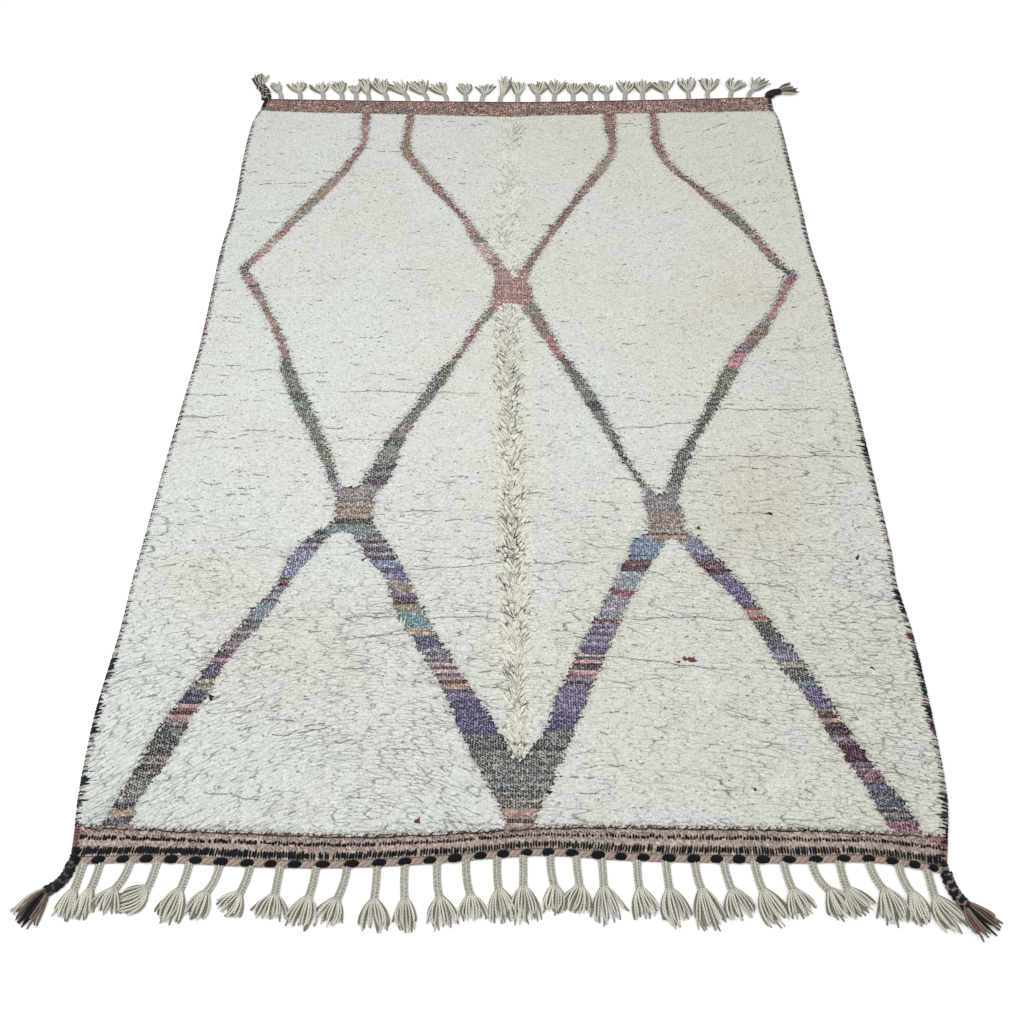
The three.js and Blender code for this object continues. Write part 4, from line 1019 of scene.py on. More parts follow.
# A cell that would bridge a lattice band has some place between its corners outside the pile
MIDDLES = ((0.5, 0.5), (0.5, 0), (0.5, 1), (0, 0.5), (1, 0.5))
NEAR_CORNERS = ((0.2, 0.2), (0.8, 0.8), (0.2, 0.8), (0.8, 0.2))
for s, t in (*MIDDLES, *NEAR_CORNERS):
    between = [
        (1 - s) * (1 - t) * grid[:-1, :-1] + s * (1 - t) * grid[:-1, 1:] + (1 - s) * t * grid[1:, :-1]
        + s * t * grid[1:, 1:]
        for grid in (x, y)
    ]
    cells &= inside_pile(*between) > -0.5
top = pile_height(x, y) - BODY_BELOW
# Painted shade: the body is dyed greyer and darker than the tufts, for the shade down between them
dye = np.broadcast_to(linear("#aeaca1"), (*cells.shape, 3))
pile_body = woven_slab("pile_body", x, y, top, BODY_THICK, cells, dye, dye, pile_wool)

# %% [markdown]
# A tuft's height, size and colour come from where it stands: lower and smaller at the rims, a little
# lower and warmer in the combed strip, where locks lie over it, and cooler or warmer in soft patches,
# as wool from several fleeces is. A few tufts carry a stray fleck of coloured yarn.

# %% The tufts of pile
# Warm patches in the cream: x, y, radius
WARM_PATCHES = [(-397, -735, 130), (548, -332, 110), (534, -438, 120), (-640, -560, 90), (573, 262, 120)]
# Stray flecks: yarn, x, y
FLECKS = """
    crimson 140 517, black 68 -363, charcoal 402 -433, charcoal 561 -396, crimson -311 -517,
    navy -575 -833, orange 329 -750, red 337 -748, orange 345 -745, red 352 -744, red 360 -746,
    red 367 -749, red -163 -1070, navy 77 -1015, navy 83 -1017, maroon 451 -1007, dark_brown 535 -866,
    black 714 -763, charcoal 731 -506, black 744 -635"""
FLECK_REACH = 4.0
CAP_LONG, CAP_WIDE, CAP_DROP, CAP_AT_RIM = 9.4, 7.8, 0.9, 4.4
# How deep the outermost tufts lie, and over which length this fades inwards
RIM_DROP, RIM_FADE = 7.0, 5.5
# Painted shade and light on each tuft: its colour is darker at the root and at the cap's rim, and lighter at
# the tip
ROOT_PAINTED_SHADE, CAP_RIM_PAINTED_SHADE, TIP_PAINTED_LIGHT = 0.84, 0.87, 1.05
COOL, WARM, YELLOW = linear("#c4c8c4"), linear("#c4c3ba"), linear("#bbb5a2")
COMBED, COMBED_FAR = linear("#d3cfc2"), linear("#cecfc5")
# How dark the painted shade in the lines of the combed strip is on its far part, and how much more
# on its near part
STRIP_LINES, STRIP_LINES_MORE = 0.55, 0.45


def near_half(y):
    """1 on the near part of the combed strip and 0 on its far part."""
    return ramp(y, 450, -50)


near_rim = ramp(to_rim, 0, 12)
tip_z = pile_height(tip_x, tip_y) + 0.5 * (scatter(n, 83.0) - 0.5) - RIM_DROP * np.exp(-to_rim / RIM_FADE)
feather = np.pi / 2 - np.clip(0.02 * (tip_x - parting_at(tip_y)), -0.6, 0.6)
angle = lie(tip_x, tip_y) * (1 - parted) + feather * parted + 0.7 * (scatter(n, 88.0) - 0.5)
to_near = near_half(tip_y)
combed_lines = STRIP_LINES + STRIP_LINES_MORE * to_near
strokes = gap_shade_strength(tip_x, tip_y) * (1 - parted) + combed_lines * parted
long_way = (CAP_AT_RIM + (CAP_LONG - CAP_AT_RIM) * near_rim) * (0.85 + 0.3 * scatter(n, 89.0))
wide_way = (CAP_AT_RIM + (CAP_WIDE - CAP_AT_RIM) * near_rim) * (0.85 + 0.3 * scatter(n, 90.0))
drop = CAP_DROP * (0.6 + 0.8 * scatter(n, 91.0)) + 0.8 * (1 - near_rim)

tone = 0.45 + 0.0006 * tip_x + 0.3 * ramp(tip_y, 0, 800)
tone = tone + 0.4 * drift(tip_x, tip_y, 190.0, 85.0) + 0.2 * drift(tip_x, tip_y, 50.0, 86.0)
tone = np.clip(tone, 0, 1)[:, None]
dye = COOL * (1 - tone) + WARM * tone
patch = sum(np.exp(-((tip_x - x) ** 2 + (tip_y - y) ** 2) / r**2) for x, y, r in WARM_PATCHES)
patch = np.clip(0.35 * patch, 0, 1)[:, None]
dye = dye * (1 - patch) + YELLOW * patch
combed_dye = COMBED * to_near[:, None] + COMBED_FAR * (1 - to_near)[:, None]
dye = dye * (1 - parted[:, None]) + combed_dye * parted[:, None]
dye = dye * (0.94 + 0.12 * scatter(n, 87.0))[:, None]
for name, x, y in rows_of(FLECKS):
    fleck = (tip_x - x) ** 2 + (tip_y - y) ** 2 < FLECK_REACH**2
    dye[fleck] = OWN_COLOUR[YARN_NAMES.index(name)]


def tufts(name, here):
    """The chosen tufts as one object: for each, a root, a cap of three corners and a blunt tip. A
    cap's corners lie on an ellipse along the tuft's lie, and its rim keeps a crease in the shading.
    Along the near end the caps are cut to a clean line."""
    count = int(here.sum())
    x, y, z = (row[here][:, None] for row in (tip_x, tip_y, tip_z))
    turned = 2 * np.pi * (scatter(n[here], 92.0)[:, None] + np.arange(3) / 3)
    along = long_way[here][:, None] * np.cos(turned)
    aside = wide_way[here][:, None] * np.sin(turned)
    cosine, sine = np.cos(angle[here])[:, None], np.sin(angle[here])[:, None]
    cap_x, cap_y = x + along * cosine - aside * sine, y + along * sine + aside * cosine
    cap_y = keep_clear(cap_x, cap_y, x + 0 * cap_x, y + 0 * cap_x)
    clean_line = across(ENDS, cap_x, NEAR_PILE) - 1.0 + 1.2 * drift(cap_x, 0, 9.0, 84.0)
    cap_y = np.maximum(cap_y, clean_line + 2.0 * drift(cap_x, 0, 35.0, 78.0))
    cap = np.stack([cap_x, cap_y, z - drop[here][:, None] + 0 * cap_x], -1)
    tip = np.concatenate([x, y, z], 1)[:, None]
    root = np.concatenate([x, y + 2.0, 0 * z + ROOT_HEIGHT], 1)[:, None]
    points = np.concatenate([root, cap, tip], 1)
    triangles = np.array([(0, 2, 1), (0, 3, 2), (0, 1, 3), (4, 1, 2), (4, 2, 3), (4, 3, 1)])
    faces = (np.arange(count)[:, None, None] * 5 + triangles).reshape(-1, 3)
    uv = pile_map(points[..., 0], points[..., 1], parted[here][:, None] > 0.5).reshape(-1, 2)[faces.ravel()]
    # Root, cap corners and tip: painted shade low down and at the rim, painted light at the tip
    shades = np.array([ROOT_PAINTED_SHADE, CAP_RIM_PAINTED_SHADE, CAP_RIM_PAINTED_SHADE, CAP_RIM_PAINTED_SHADE, TIP_PAINTED_LIGHT])
    rim = np.tile([False, True, True, True, False], count)
    paints = {
        "dye": (dye[here][:, None] * shades[:, None]).reshape(-1, 3),
        "strokes": np.repeat(strokes[here], 5)[:, None] * np.ones(3),
    }
    return mesh_object(name, points.reshape(-1, 3), [faces], pile_wool, paints, uv, rim)


# The rows where the middle knot and the side knots part the lattice, and the tip of the far panel
MIDDLE_KNOT, SIDE_KNOTS, FAR_PANEL_TIP = 262, -400, 275


def line_of(y, *names):
    """X of a line of the lattice at each row, from the middles of its bands: the last band holds
    before the side knots, the first past them or, where there are three, past the middle knot."""
    middles = [across(BANDS[name], y, BAND_MIDDLE) for name in names]
    past_knots = middles[0] if len(names) == 2 else np.where(y > MIDDLE_KNOT, middles[0], middles[1])
    return np.where(y > SIDE_KNOTS, past_knots, middles[-1])


def panel_of(x, y):
    """The number of the pile panel that each place lies in, from the lines on either side of it."""
    far = y > SIDE_KNOTS
    outer_left = line_of(y, "outer_left", "outer_left_near")
    inner_left = line_of(y, "inner_left_far", "inner_left_near", "inner_left_end")
    inner_right = line_of(y, "inner_right_far", "inner_right_near", "inner_right_end")
    outer_right = line_of(y, "outer_right", "outer_right_near")
    panel = np.full(x.shape, 3)
    panel[x < inner_right] = np.where(y[x < inner_right] > FAR_PANEL_TIP, 2, 4)
    panel[x < inner_left] = 1
    panel[x > outer_right] = 5
    panel[x < outer_left] = 0
    panel[(panel == 1) & ~far] = 6
    panel[(panel == 3) & ~far] = 7
    return panel


PANELS = [
    "pile_left_side", "pile_left_lozenge", "pile_far_middle", "pile_right_lozenge",
    "pile_middle_lozenge", "pile_right_side", "pile_near_left", "pile_near_right",
]
panel = panel_of(tip_x, tip_y)
pile = [pile_body, *(tufts(name, panel == k) for k, name in enumerate(PANELS))]

# %% [markdown]
# Down the middle the pile was combed outwards from a parting, so that it looks like a feather. Locks
# lie there in staggered rows, steep at the parting and more slanted at the sides, and fewer of them
# far from it and on the far half. Each is a flattened tube that rises from its root, bends outwards
# and thins to its tip, with painted shade along its sides and underneath, where it sinks between its
# neighbours.

# %% The combed strip
LOCK_ROWS, LOCK_STEP = 10.0, 6.6
LOCK_WIDE, LOCK_HIGH, LOCK_SIDES = 2.5, 1.3, 4
lock_y, lock_k = np.meshgrid(np.arange(-940.0, 1040.0, LOCK_ROWS), np.arange(-6, 7))
number = np.arange(lock_y.size)
beside = (lock_k + 0.5 * (np.arange(lock_y.shape[1]) % 2)).ravel() * LOCK_STEP
beside = beside + 4.5 * (scatter(number, 93.0) - 0.5)
lock_y = lock_y.ravel() + 9.0 * (scatter(number, 94.0) - 0.5)
lock_x = parting_at(lock_y) + beside
half_width = across(PARTED, lock_y, 1) + 5.0 * drift(lock_x, lock_y, 30.0, 53.0)
kept = (np.abs(beside) < half_width) & (inside_pile(lock_x, lock_y) > 9)
kept &= inside_pile(lock_x, lock_y + 16) > 4
bare = 0.3 + 0.4 * ramp(lock_y, 150, 450) + 0.65 * (np.abs(beside) / half_width) ** 2
kept &= scatter(number, 99.0) > bare
number, lock_x, lock_y, beside = (row[kept] for row in (number, lock_x, lock_y, beside))
outwards = np.sign(beside) * (0.2 + 0.018 * np.abs(beside)) + 0.4 * (scatter(number, 95.0) - 0.5)
lock_length = (14.0 + 10.0 * scatter(number, 96.0))[:, None]
t = np.linspace(0, 1, 4)
bent = outwards[:, None] * (0.5 + 1.0 * t) + 1.1 * (scatter(number, 100.0) - 0.5)[:, None] * (t - 0.4)
lock_x = lock_x[:, None] + lock_length * t * np.sin(bent)
root_y, lock_y = lock_y, lock_y[:, None] + lock_length * (t - 0.3) * np.cos(bent)
lock_z = 10.8 + 2.2 * np.sin(np.pi * (0.08 + 0.7 * t)) + 1.4 * (scatter(number, 97.0) - 0.5)[:, None]
thin = np.array([0.75, 1.0, 0.95, 0.45])
paths = np.stack([lock_x, lock_y, lock_z], -1)
points, faces, _, owner = tubes(paths, LOCK_WIDE * thin, LOCK_HIGH * thin, LOCK_SIDES)
outer = np.clip(np.abs(beside) / half_width[kept] * 1.4 - 0.5, 0, 1)[:, None]
to_near = near_half(root_y)[:, None]
dye = (COMBED * to_near + COMBED_FAR * (1 - to_near)) * 1.04
dye = dye * (1 - outer) + WARM * outer
dye = dye * (0.86 + 0.2 * scatter(number, 98.0))[:, None]
# Painted shade: each lock is darker on its two sides and underneath, more on the near half
lock_painted_shade = 1 - np.array([0.22, 0.0, 0.22, 0.28]) * (0.5 + 0.5 * to_near)
lock_corners = np.concatenate([part.ravel() for part in faces])
combed_lines = STRIP_LINES + STRIP_LINES_MORE * to_near
paints = {
    "dye": dye[owner] * np.tile(lock_painted_shade, (1, len(t))).reshape(-1, 1),
    "strokes": combed_lines[owner] * np.ones(3),
}
strip_map = pile_map(*points[lock_corners, :2].T, True)
pile.append(mesh_object("pile_combed_strip", points, faces, pile_wool, paints, strip_map))
print(len(number), "locks in the combed strip")

# %% [markdown]
# The long sides are overcast: left-over yarn is wound round the edge cord and stabs into the pile,
# here short, there long, so the edge looks toothed. The yarn changes as it runs out. Each turn is
# one tube that comes from under the edge, goes up over it and ends in a point on the pile.

# %% The overcast sides
TURN_PITCH = 6.0
# One turn from under the edge into the pile: share of the way out, height, reach into the pile
TURN_PATH = [
    (0.3, 2.4, 0.0), (0.9, 3.0, 0.0), (1.0, 6.0, 0.0), (0.7, 9.8, 0.0), (0.1, 12.2, 0.15), (0.0, 13.6, 0.6),
    (0.0, 13.8, 1.0),
]
TURN_WIDE, TURN_HIGH, TURN_SIDES = 2.6, 1.5, 5
CORD_STATIONS, CORD_SIDES = 240, 7


def side_colour(side, y, turn):
    """The colour of each turn: its stretch's yarns in turn, and a scatter."""
    yarns = [yarn_number(names) for names, _, _ in rows_of(SIDE_YARNS[side])]
    chosen = [yarns[k][t % len(yarns[k])] for k, t in zip(stretch_of(side, y), turn)]
    return OWN_COLOUR[chosen] * (0.7 + 0.6 * scatter(turn, 101.0 + side))[:, None]


def overcast(name, side):
    """The edge cord of one side, and the turns of yarn round it."""
    out = -1.0 if side == LEFT else 1.0
    (_, near), (_, far) = corner(side, NEAR_EDGE), corner(side, FAR_EDGE)
    turn = np.arange(int((far - near) / TURN_PITCH))
    y = near + TURN_PITCH * (turn + 0.5 + 0.6 * (scatter(turn, 102.0 + side) - 0.5))
    bold = boldness(side, y)
    share, height, into = np.array(TURN_PATH).T
    reach = 2.5 + 3.5 * scatter(turn, 103.0 + side) + bold * 11.0 * scatter(turn, 104.0 + side) ** 1.5
    reach = reach + bold * 10.0 * (scatter(turn, 107.0 + side) > 0.85)
    edge = cloth_side(side, y)
    x = edge[:, None] + out * (0.3 + (SELVEDGE_WIDTH - 1.6) * share - reach[:, None] * into)
    slant = ((4.0 if side == RIGHT else -1.0) * bold + 3.0 * (scatter(turn, 105.0 + side) - 0.5))[:, None]
    lift = height * (0.95 + 0.08 * scatter(turn, 106.0 + side))[:, None]
    from_end = np.minimum(y - across(ENDS, edge, NEAR_PILE), across(ENDS, edge, FAR_PILE) - y)
    lift = lift * (0.62 + 0.38 * ramp(from_end, 0, 12)[:, None])
    paths = np.stack([x, y[:, None] + slant * np.linspace(0, 1, len(share)), lift], -1)
    thin = np.array([0.8, 1.0, 1.0, 1.0, 0.9, 0.6, 0.2])
    wide = TURN_WIDE * (0.5 + 0.8 * bold)[:, None] * thin
    turns = tubes(paths, wide, TURN_HIGH * thin, TURN_SIDES)
    cord_y = np.linspace(near + 2, far - 2, CORD_STATIONS)
    cord_x = cloth_side(side, cord_y) + out * (0.5 * SELVEDGE_WIDTH)
    cord = np.stack([cord_x, cord_y, np.full(CORD_STATIONS, 3.9)], -1)[None]
    cord = tubes(cord, 3.7, 3.6, CORD_SIDES)
    turn_dye = side_colour(side, y, turn)[turns[3]]
    cord_dye = side_colour(side, cord_y, (cord_y / TURN_PITCH).astype(int) + 999)
    return bundle(name, yarn_wool, [(*turns, turn_dye), (*cord, np.repeat(cord_dye, CORD_SIDES, 0))])


left_binding = overcast("left_binding", LEFT)
right_binding = overcast("right_binding", RIGHT)

# %% [markdown]
# At each end the wefts are locked by a twined edge: cords that twist round each other along the
# cloth. At the near end pink and beige cords carry a navy one that comes to the top as a leaf shape
# at each twist. The leaves are not quite even, so their places are listed, and the twist follows them.

# %% The twined edges
LEAVES = [
    -768, -725, -681, -640, -595, -552, -506, -458, -417, -375, -325, -273, -224, -179, -135, -91, -45, -6,
    37, 74, 116, 164, 203, 242, 288, 332, 372, 411, 453, 499, 546, 596, 640, 680, 719, 750, 780,
]
NEAR_EDGE_WIDTH, FAR_EDGE_WIDTH = 14.0, 8.0
EDGE_STATIONS, FAR_TWIST = 460, 19.0
PINK_CORD, BEIGE_CORD, LEAF_NAVY = linear("#9c857c"), linear("#b3a195"), linear("#0b0c13")

(left_x, _), (right_x, _) = corner(LEFT, NEAR_EDGE), corner(RIGHT, NEAR_EDGE)
edge_x = np.linspace(left_x, right_x, EDGE_STATIONS)
twist = 2 * np.pi * np.interp(edge_x, LEAVES, np.arange(len(LEAVES)))


def edge_cord(column, away, offset, sway, height, lift, phase, wide, high, sides, colour):
    """One cord along an end of the cloth. It sways across the edge with the sine of the phase and
    rises with its cosine; wide and high may change along it."""
    y = across(ENDS, edge_x, column) + away * offset + sway * np.sin(phase)
    z = height + lift * np.cos(phase)
    wide = np.broadcast_to(wide, edge_x.shape)[None]
    high = np.broadcast_to(high, edge_x.shape)[None]
    cord = tubes(np.stack([edge_x, y, z], -1)[None], wide, high, sides)
    return (*cord, np.tile(colour, (len(cord[0]), 1)))


# The near cords: where in the twist each starts, and its colour
CORDS = ((0.6, PINK_CORD), (2.2, BEIGE_CORD), (3.8, PINK_CORD * 0.8), (5.2, BEIGE_CORD * 0.9))
near_cords = [
    edge_cord(NEAR_EDGE, -1, 7.6, 3.6, 3.3, 0.9, 2 * twist + start, 2.9, 2.3, 6, colour)
    for start, colour in CORDS
]
on_top = np.clip(np.cos(0.66 * (np.mod(twist + np.pi, 2 * np.pi) - np.pi)), 0, 1) ** 0.8
leaf = (0.85 + 0.4 * scatter(np.round(twist / 2 / np.pi), 112.0)) * on_top
leaf_height, leaf_wide, leaf_high = 3.2 + 2.2 * on_top, 0.8 + 6.0 * leaf, 0.9 + 1.7 * leaf
near_cords.append(
    edge_cord(NEAR_EDGE, -1, 8.0, 1.0, leaf_height, 0.0, twist + 1.2, leaf_wide, leaf_high, 8, LEAF_NAVY)
)
far_turns = 2 * np.pi * edge_x / FAR_TWIST
far_cords = [
    edge_cord(FAR_EDGE, 1, 3.8, 1.3, 3.0, 0.8, far_turns + start, 2.4, 2.0, 6, linear(colour))
    for start, colour in ((0.0, "#7c4a42"), (math.pi, "#5a3a35"))
]
print(len(LEAVES), "leaves along the near edge")

# %% [markdown]
# Where the near band meets the pile a thin dark thread was darned in. It wanders along the foot of
# the pile, and every few knots an end of it pokes up as a small spike.

# %% The dark thread along the pile
THREAD_STEP, THREAD_RADIUS, THREAD_SIDES, THREAD_ENDS = 9.0, 0.9, 5, (-764.0, 764.0)
SPIKES, SPIKES_FROM, SPIKES_SPAN = 64, -760, 1520
THREAD_DARK = linear("#3a2427")
thread_x = np.arange(*THREAD_ENDS, THREAD_STEP)
thread_y = across(ENDS, thread_x, NEAR_PILE) - 1.5 + 2.0 * drift(thread_x, 0, 14.0, 113.0)
thread_z = 6.2 + 0.6 * drift(thread_x, 0, 18.0, 114.0)
thread = np.stack([thread_x, thread_y, thread_z], -1)[None]
thread = tubes(thread, THREAD_RADIUS, THREAD_RADIUS, THREAD_SIDES)
spike = np.arange(SPIKES)
spike_x = SPIKES_FROM + SPIKES_SPAN * (spike + 0.8 * scatter(spike, 115.0)) / SPIKES
spike_y = across(ENDS, spike_x, NEAR_PILE) - 1.0
lean_over = 3.0 + 5.0 * scatter(spike, 116.0)
spike_up = 2.0 + 6.0 * scatter(spike, 117.0) ** 2
spike_paths = np.stack(
    [
        np.stack([spike_x + east, spike_y + north, np.full(SPIKES, height)], -1)
        for east, north, height in ((-5.0, -2.0, 6.0), (0.0, 0.0, 9.0), (lean_over, spike_up, 13.8))
    ],
    1,
)
spikes = tubes(spike_paths, np.array([1.0, 1.2, 0.3]), np.array([0.9, 1.0, 0.3]), THREAD_SIDES)
edge_thread = bundle(
    "near_band_threads",
    yarn_wool,
    [
        (*thread, np.tile(THREAD_DARK, (len(thread[0]), 1))),
        (*spikes, THREAD_DARK * (0.5 + 1.0 * scatter(spikes[3], 118.0))[:, None]),
        *dash_threads,
    ],
)

# %% [markdown]
# A tassel is a bundle of warp ends, plaited flat in five strands and let out into a fan. A flat
# plait is a formula: each strand swings across with a sine, the five are a fifth of a turn apart,
# and a strand goes over and under the four others in turn, so it rises with a cosine four times as
# fast. The loose ends are soft curves that swell out right after the plait and close a little
# towards the tips. All the tassels of one end are worked out together.

# %% Plaits and fans
PLAIT_SWING, PLAIT_RISE = 5.4, 1.5
PLAIT_WIDE, PLAIT_HIGH = 2.3, 1.9
PLAIT_CYCLE = 26.0
PLAIT_STATIONS, PLAIT_SIDES = 22, 5
END_STATIONS, END_SIDES, END_RADIUS = 7, 4, 2.05


def sideways(direction):
    """The level direction square to each level direction."""
    return np.stack([direction[..., 1], -direction[..., 0]], -1)


def plaits(start, end, away, seed, strands=5, size=1.0):
    """Flat plaits on the floor between many starts and ends, which leave the edge straight and then
    bend. Strand k lies at the swing times the sine of its phase, and its height rises with the
    cosine of one time fewer than there are strands. Gives the tubes, and how high each point is."""
    count = len(start)
    t = np.linspace(0, 1, PLAIT_STATIONS)
    length = np.linalg.norm(end - start, axis=1)
    bend = start + 0.55 * length[:, None] * np.array([0.0, away])
    middle = start[:, None] * ((1 - t) ** 2)[:, None] + bend[:, None] * (2 * t * (1 - t))[:, None]
    middle = middle + end[:, None] * (t**2)[:, None]
    aside = sideways(unit(np.gradient(middle, axis=1)))
    bowed = 2.0 * (scatter(np.arange(count), seed) - 0.5)[:, None] * np.sin(np.pi * t)
    middle = middle + aside * bowed[..., None]
    paths, above = [], []
    for k in range(strands):
        phase = 2 * np.pi * (t * (length / PLAIT_CYCLE)[:, None] + k / strands)
        level = middle + aside * (size * PLAIT_SWING * np.sin(phase))[..., None]
        above.append(0.5 + 0.5 * np.cos((strands - 1) * phase))
        height = size * (PLAIT_HIGH + 2 * PLAIT_RISE * above[-1]) + 0.5
        paths.append(np.concatenate([level, height[..., None]], -1))
    paths = np.stack(paths, 1).reshape(strands * count, PLAIT_STATIONS, 3)
    above = np.repeat(np.stack(above, 1).ravel(), PLAIT_SIDES)[:, None]
    wide = size * PLAIT_WIDE * (5 / strands) ** 0.7
    return tubes(paths, wide, size * PLAIT_HIGH, PLAIT_SIDES), above


def fans(end, tip, spread, along, ends, seed, loose=1.0, radius=END_RADIUS):
    """Loose yarn ends from each plait's end: cubic curves whose second point swings out sideways
    by the end's share of the fan, whose third goes on outwards, and whose tip closes or opens, which
    differs from fan to fan. Odd ends lie in an upper layer, over the gaps between the even ones.
    The looser the fan, the more its ends cross."""
    count = len(end)
    number = np.arange(ends)
    part = (number + 0.5) / ends - 0.5
    dice = [scatter(np.arange(count)[:, None] * ends + number, seed + k) - 0.5 for k in range(5)]
    opened = (0.7 + 0.2 * loose + 0.4 * scatter(np.arange(count), seed + 5))[:, None]
    way = unit(tip - end)
    aside = sideways(way)
    reach = np.linalg.norm(tip - end, axis=1)[:, None]
    wide = spread[:, None]
    upper = number % 2

    def placed(direction, forward, out):
        """Places given by how far forward and how far out they lie from each plait's end."""
        return end[:, None] + direction[:, None] * forward[..., None] + aside[:, None] * out[..., None]

    first = placed(along, 0 * reach - 4.0 + 2.0 * dice[0], 12.0 * part + 1.0 * dice[1])
    second = placed(along, reach * (0.3 + 0.1 * dice[2]), wide * 1.05 * part + 4.0 * loose * dice[3])
    third = placed(way, reach * (0.72 + 0.1 * dice[4]), wide * 1.2 * part + 8.0 * loose * dice[1])
    last_out = wide * opened * part + 13.0 * loose * dice[2]
    last = placed(way, reach * (1.0 - 0.9 * part**2 + 0.32 * dice[0]), last_out)
    t = np.linspace(0, 1, END_STATIONS)[:, None]
    level = first[:, :, None] * (1 - t) ** 3 + 3 * second[:, :, None] * t * (1 - t) ** 2
    level = level + 3 * third[:, :, None] * t**2 * (1 - t) + last[:, :, None] * t**3
    rise = np.array([1.0, 1.8, 2.0, 1.8, 1.4, 0.9, 0.4])
    height = radius + 0.3 + rise + (upper * 3.0)[:, None] * np.array([0.5, 1, 1.1, 1.1, 1, 0.9, 0.8])
    height = height + 1.0 * (dice[3] + 0.5)[..., None] * np.linspace(0.2, 1, END_STATIONS)
    paths = np.concatenate([level, height[..., None]], -1).reshape(count * ends, END_STATIONS, 3)
    thin = np.array([0.9, 1.0, 1.05, 1.05, 1.05, 1.0, 0.65])
    return tubes(paths, radius * thin, radius * thin, END_SIDES, 0.5)


def wool_shades(base, owner, seed, unevenness=0.16):
    """One shade of the base colour for each path, given to all the points of that path."""
    shade = 1 - unevenness / 2 + unevenness * scatter(np.arange(owner.max() + 1), seed)
    return (np.asarray(base) * shade[:, None])[owner]


# Near tassels: root along the edge, drift of the plait's end and of the fan's tip along X, how far
# the tip reaches from the edge, width of the fan
NEAR_TASSELS = [
    (-751, -6, -12, 93, 30), (-721, -8, -10, 90, 24), (-668, -20, -30, 84, 44), (-620, -9, -50, 74, 46),
    (-562, -9, -25, 98, 42), (-508, -17, -30, 88, 38), (-453, -13, -33, 78, 42), (-400, -3, -8, 88, 52),
    (-336, -8, -19, 101, 48), (-281, -14, -27, 93, 42), (-228, -1, 4, 108, 46), (-179, 4, 8, 109, 38),
    (-122, 8, 16, 106, 46), (-71, 11, 14, 101, 44), (-16, 4, 15, 103, 42), (30, 0, 3, 110, 46),
    (78, 8, 2, 97, 36), (124, 6, -6, 90, 44), (169, 2, 11, 104, 46), (231, 2, 16, 92, 38),
    (282, 3, 13, 105, 46), (333, 9, 21, 110, 42), (384, 11, 25, 91, 48), (438, 10, 32, 100, 42),
    (489, 11, 24, 87, 44), (539, 27, 44, 89, 44), (588, 7, 29, 84, 40), (639, 20, 30, 100, 46),
    (690, 15, 22, 94, 34), (738, 4, 36, 94, 46),
]
# Far tassels, with the same columns
FAR_TASSELS = [
    (-718, -14, -32, 80, 20), (-660, -9, -22, 86, 44), (-589, -9, -23, 87, 44), (-531, -9, -22, 94, 36),
    (-488, -5, -13, 76, 26), (-449, -10, -26, 111, 26), (-394, -15, -37, 112, 40), (-330, -19, -47, 93, 42),
    (-272, -16, -40, 99, 44), (-211, -15, -38, 90, 42), (-153, -4, -11, 90, 36), (-105, 8, 12, 86, 36),
    (-50, 8, 18, 122, 22), (4, 0, -1, 98, 30), (65, 0, 0, 97, 38), (113, 4, 10, 112, 40),
    (171, 2, 4, 90, 38), (225, -2, -4, 89, 36), (274, -1, -3, 76, 36), (328, 4, 8, 97, 38),
    (382, 1, 3, 96, 40), (455, -5, -13, 94, 44), (521, 1, 2, 109, 40), (579, 6, 15, 107, 40),
    (648, 10, 26, 95, 44), (703, 22, 50, 96, 38),
]
# How long the plaits are along each end: x, length
NEAR_PLAIT_LENGTHS = [
    (-760, 48), (-400, 49), (-250, 58), (-120, 61), (-60, 61), (0, 56), (100, 54), (220, 50), (760, 48),
]
FAR_PLAIT_LENGTHS = [(-720, 42), (700, 42)]
PLAIT_ROOTED = 4.0
# Painted shade: the plaits' strands run from the lit colour on top to the shaded one beneath, and the fans'
# lower ends take the shadowed colour
WARP_CREAM, PLAIT_LIT, PLAIT_IN_SHADE, SHADOWED = (
    linear(colour) for colour in ("#cecabe", "#d4d1c6", "#77715f", "#8a8473")
)


def fringe(name, cords, rows, column, away, edge_width, plait_lengths, wider, ends, loose, radius, seed):
    """An end's twined cords and its tassels as one piece."""
    x, plait_drift, tip_drift, reach, spread = np.array(rows, float).T
    edge_y = across(ENDS, x, column) + away * edge_width
    root = np.column_stack([x, edge_y - away * PLAIT_ROOTED])
    end = np.column_stack([x + plait_drift, edge_y + away * across(plait_lengths, x, 1)])
    tip = np.column_stack([x + tip_drift, edge_y + away * reach])
    plait, above = plaits(root, end, away, seed)
    # Painted shade: a strand is light where it lies over the others and dark where it dives under them
    plait_dye = PLAIT_IN_SHADE * (1 - above) + PLAIT_LIT * above
    plait_dye = plait_dye * wool_shades(np.ones(3), plait[3], seed + 3)
    fan = fans(end, tip, spread * wider, unit(end - root), ends, seed + 1, loose, radius)
    # Painted shade: the ends of the lower layer take the shadowed colour, and those of the upper layer cream
    lower = (fan[3] % ends % 2 == 0)[:, None]
    fan_dye = np.where(lower, SHADOWED, WARP_CREAM) * wool_shades(np.ones(3), fan[3], seed + 4, 0.3)
    return bundle(name, yarn_wool, [*cords, (*plait, plait_dye), (*fan, fan_dye)])


near_tassels = fringe(
    "near_tassels", near_cords, NEAR_TASSELS, NEAR_EDGE, -1, NEAR_EDGE_WIDTH, NEAR_PLAIT_LENGTHS,
    wider=1.1, ends=17, loose=1.0, radius=END_RADIUS, seed=111.0,
)
far_tassels = fringe(
    "far_tassels", far_cords, FAR_TASSELS, FAR_EDGE, 1, FAR_EDGE_WIDTH, FAR_PLAIT_LENGTHS,
    wider=1.25, ends=13, loose=1.8, radius=1.25 * END_RADIUS, seed=121.0,
)

# %% [markdown]
# The overcasting yarn runs on past each corner: a few turns bind the corner, and its ends are
# plaited and let out as a dark tassel of their own. The four differ only in their table rows.

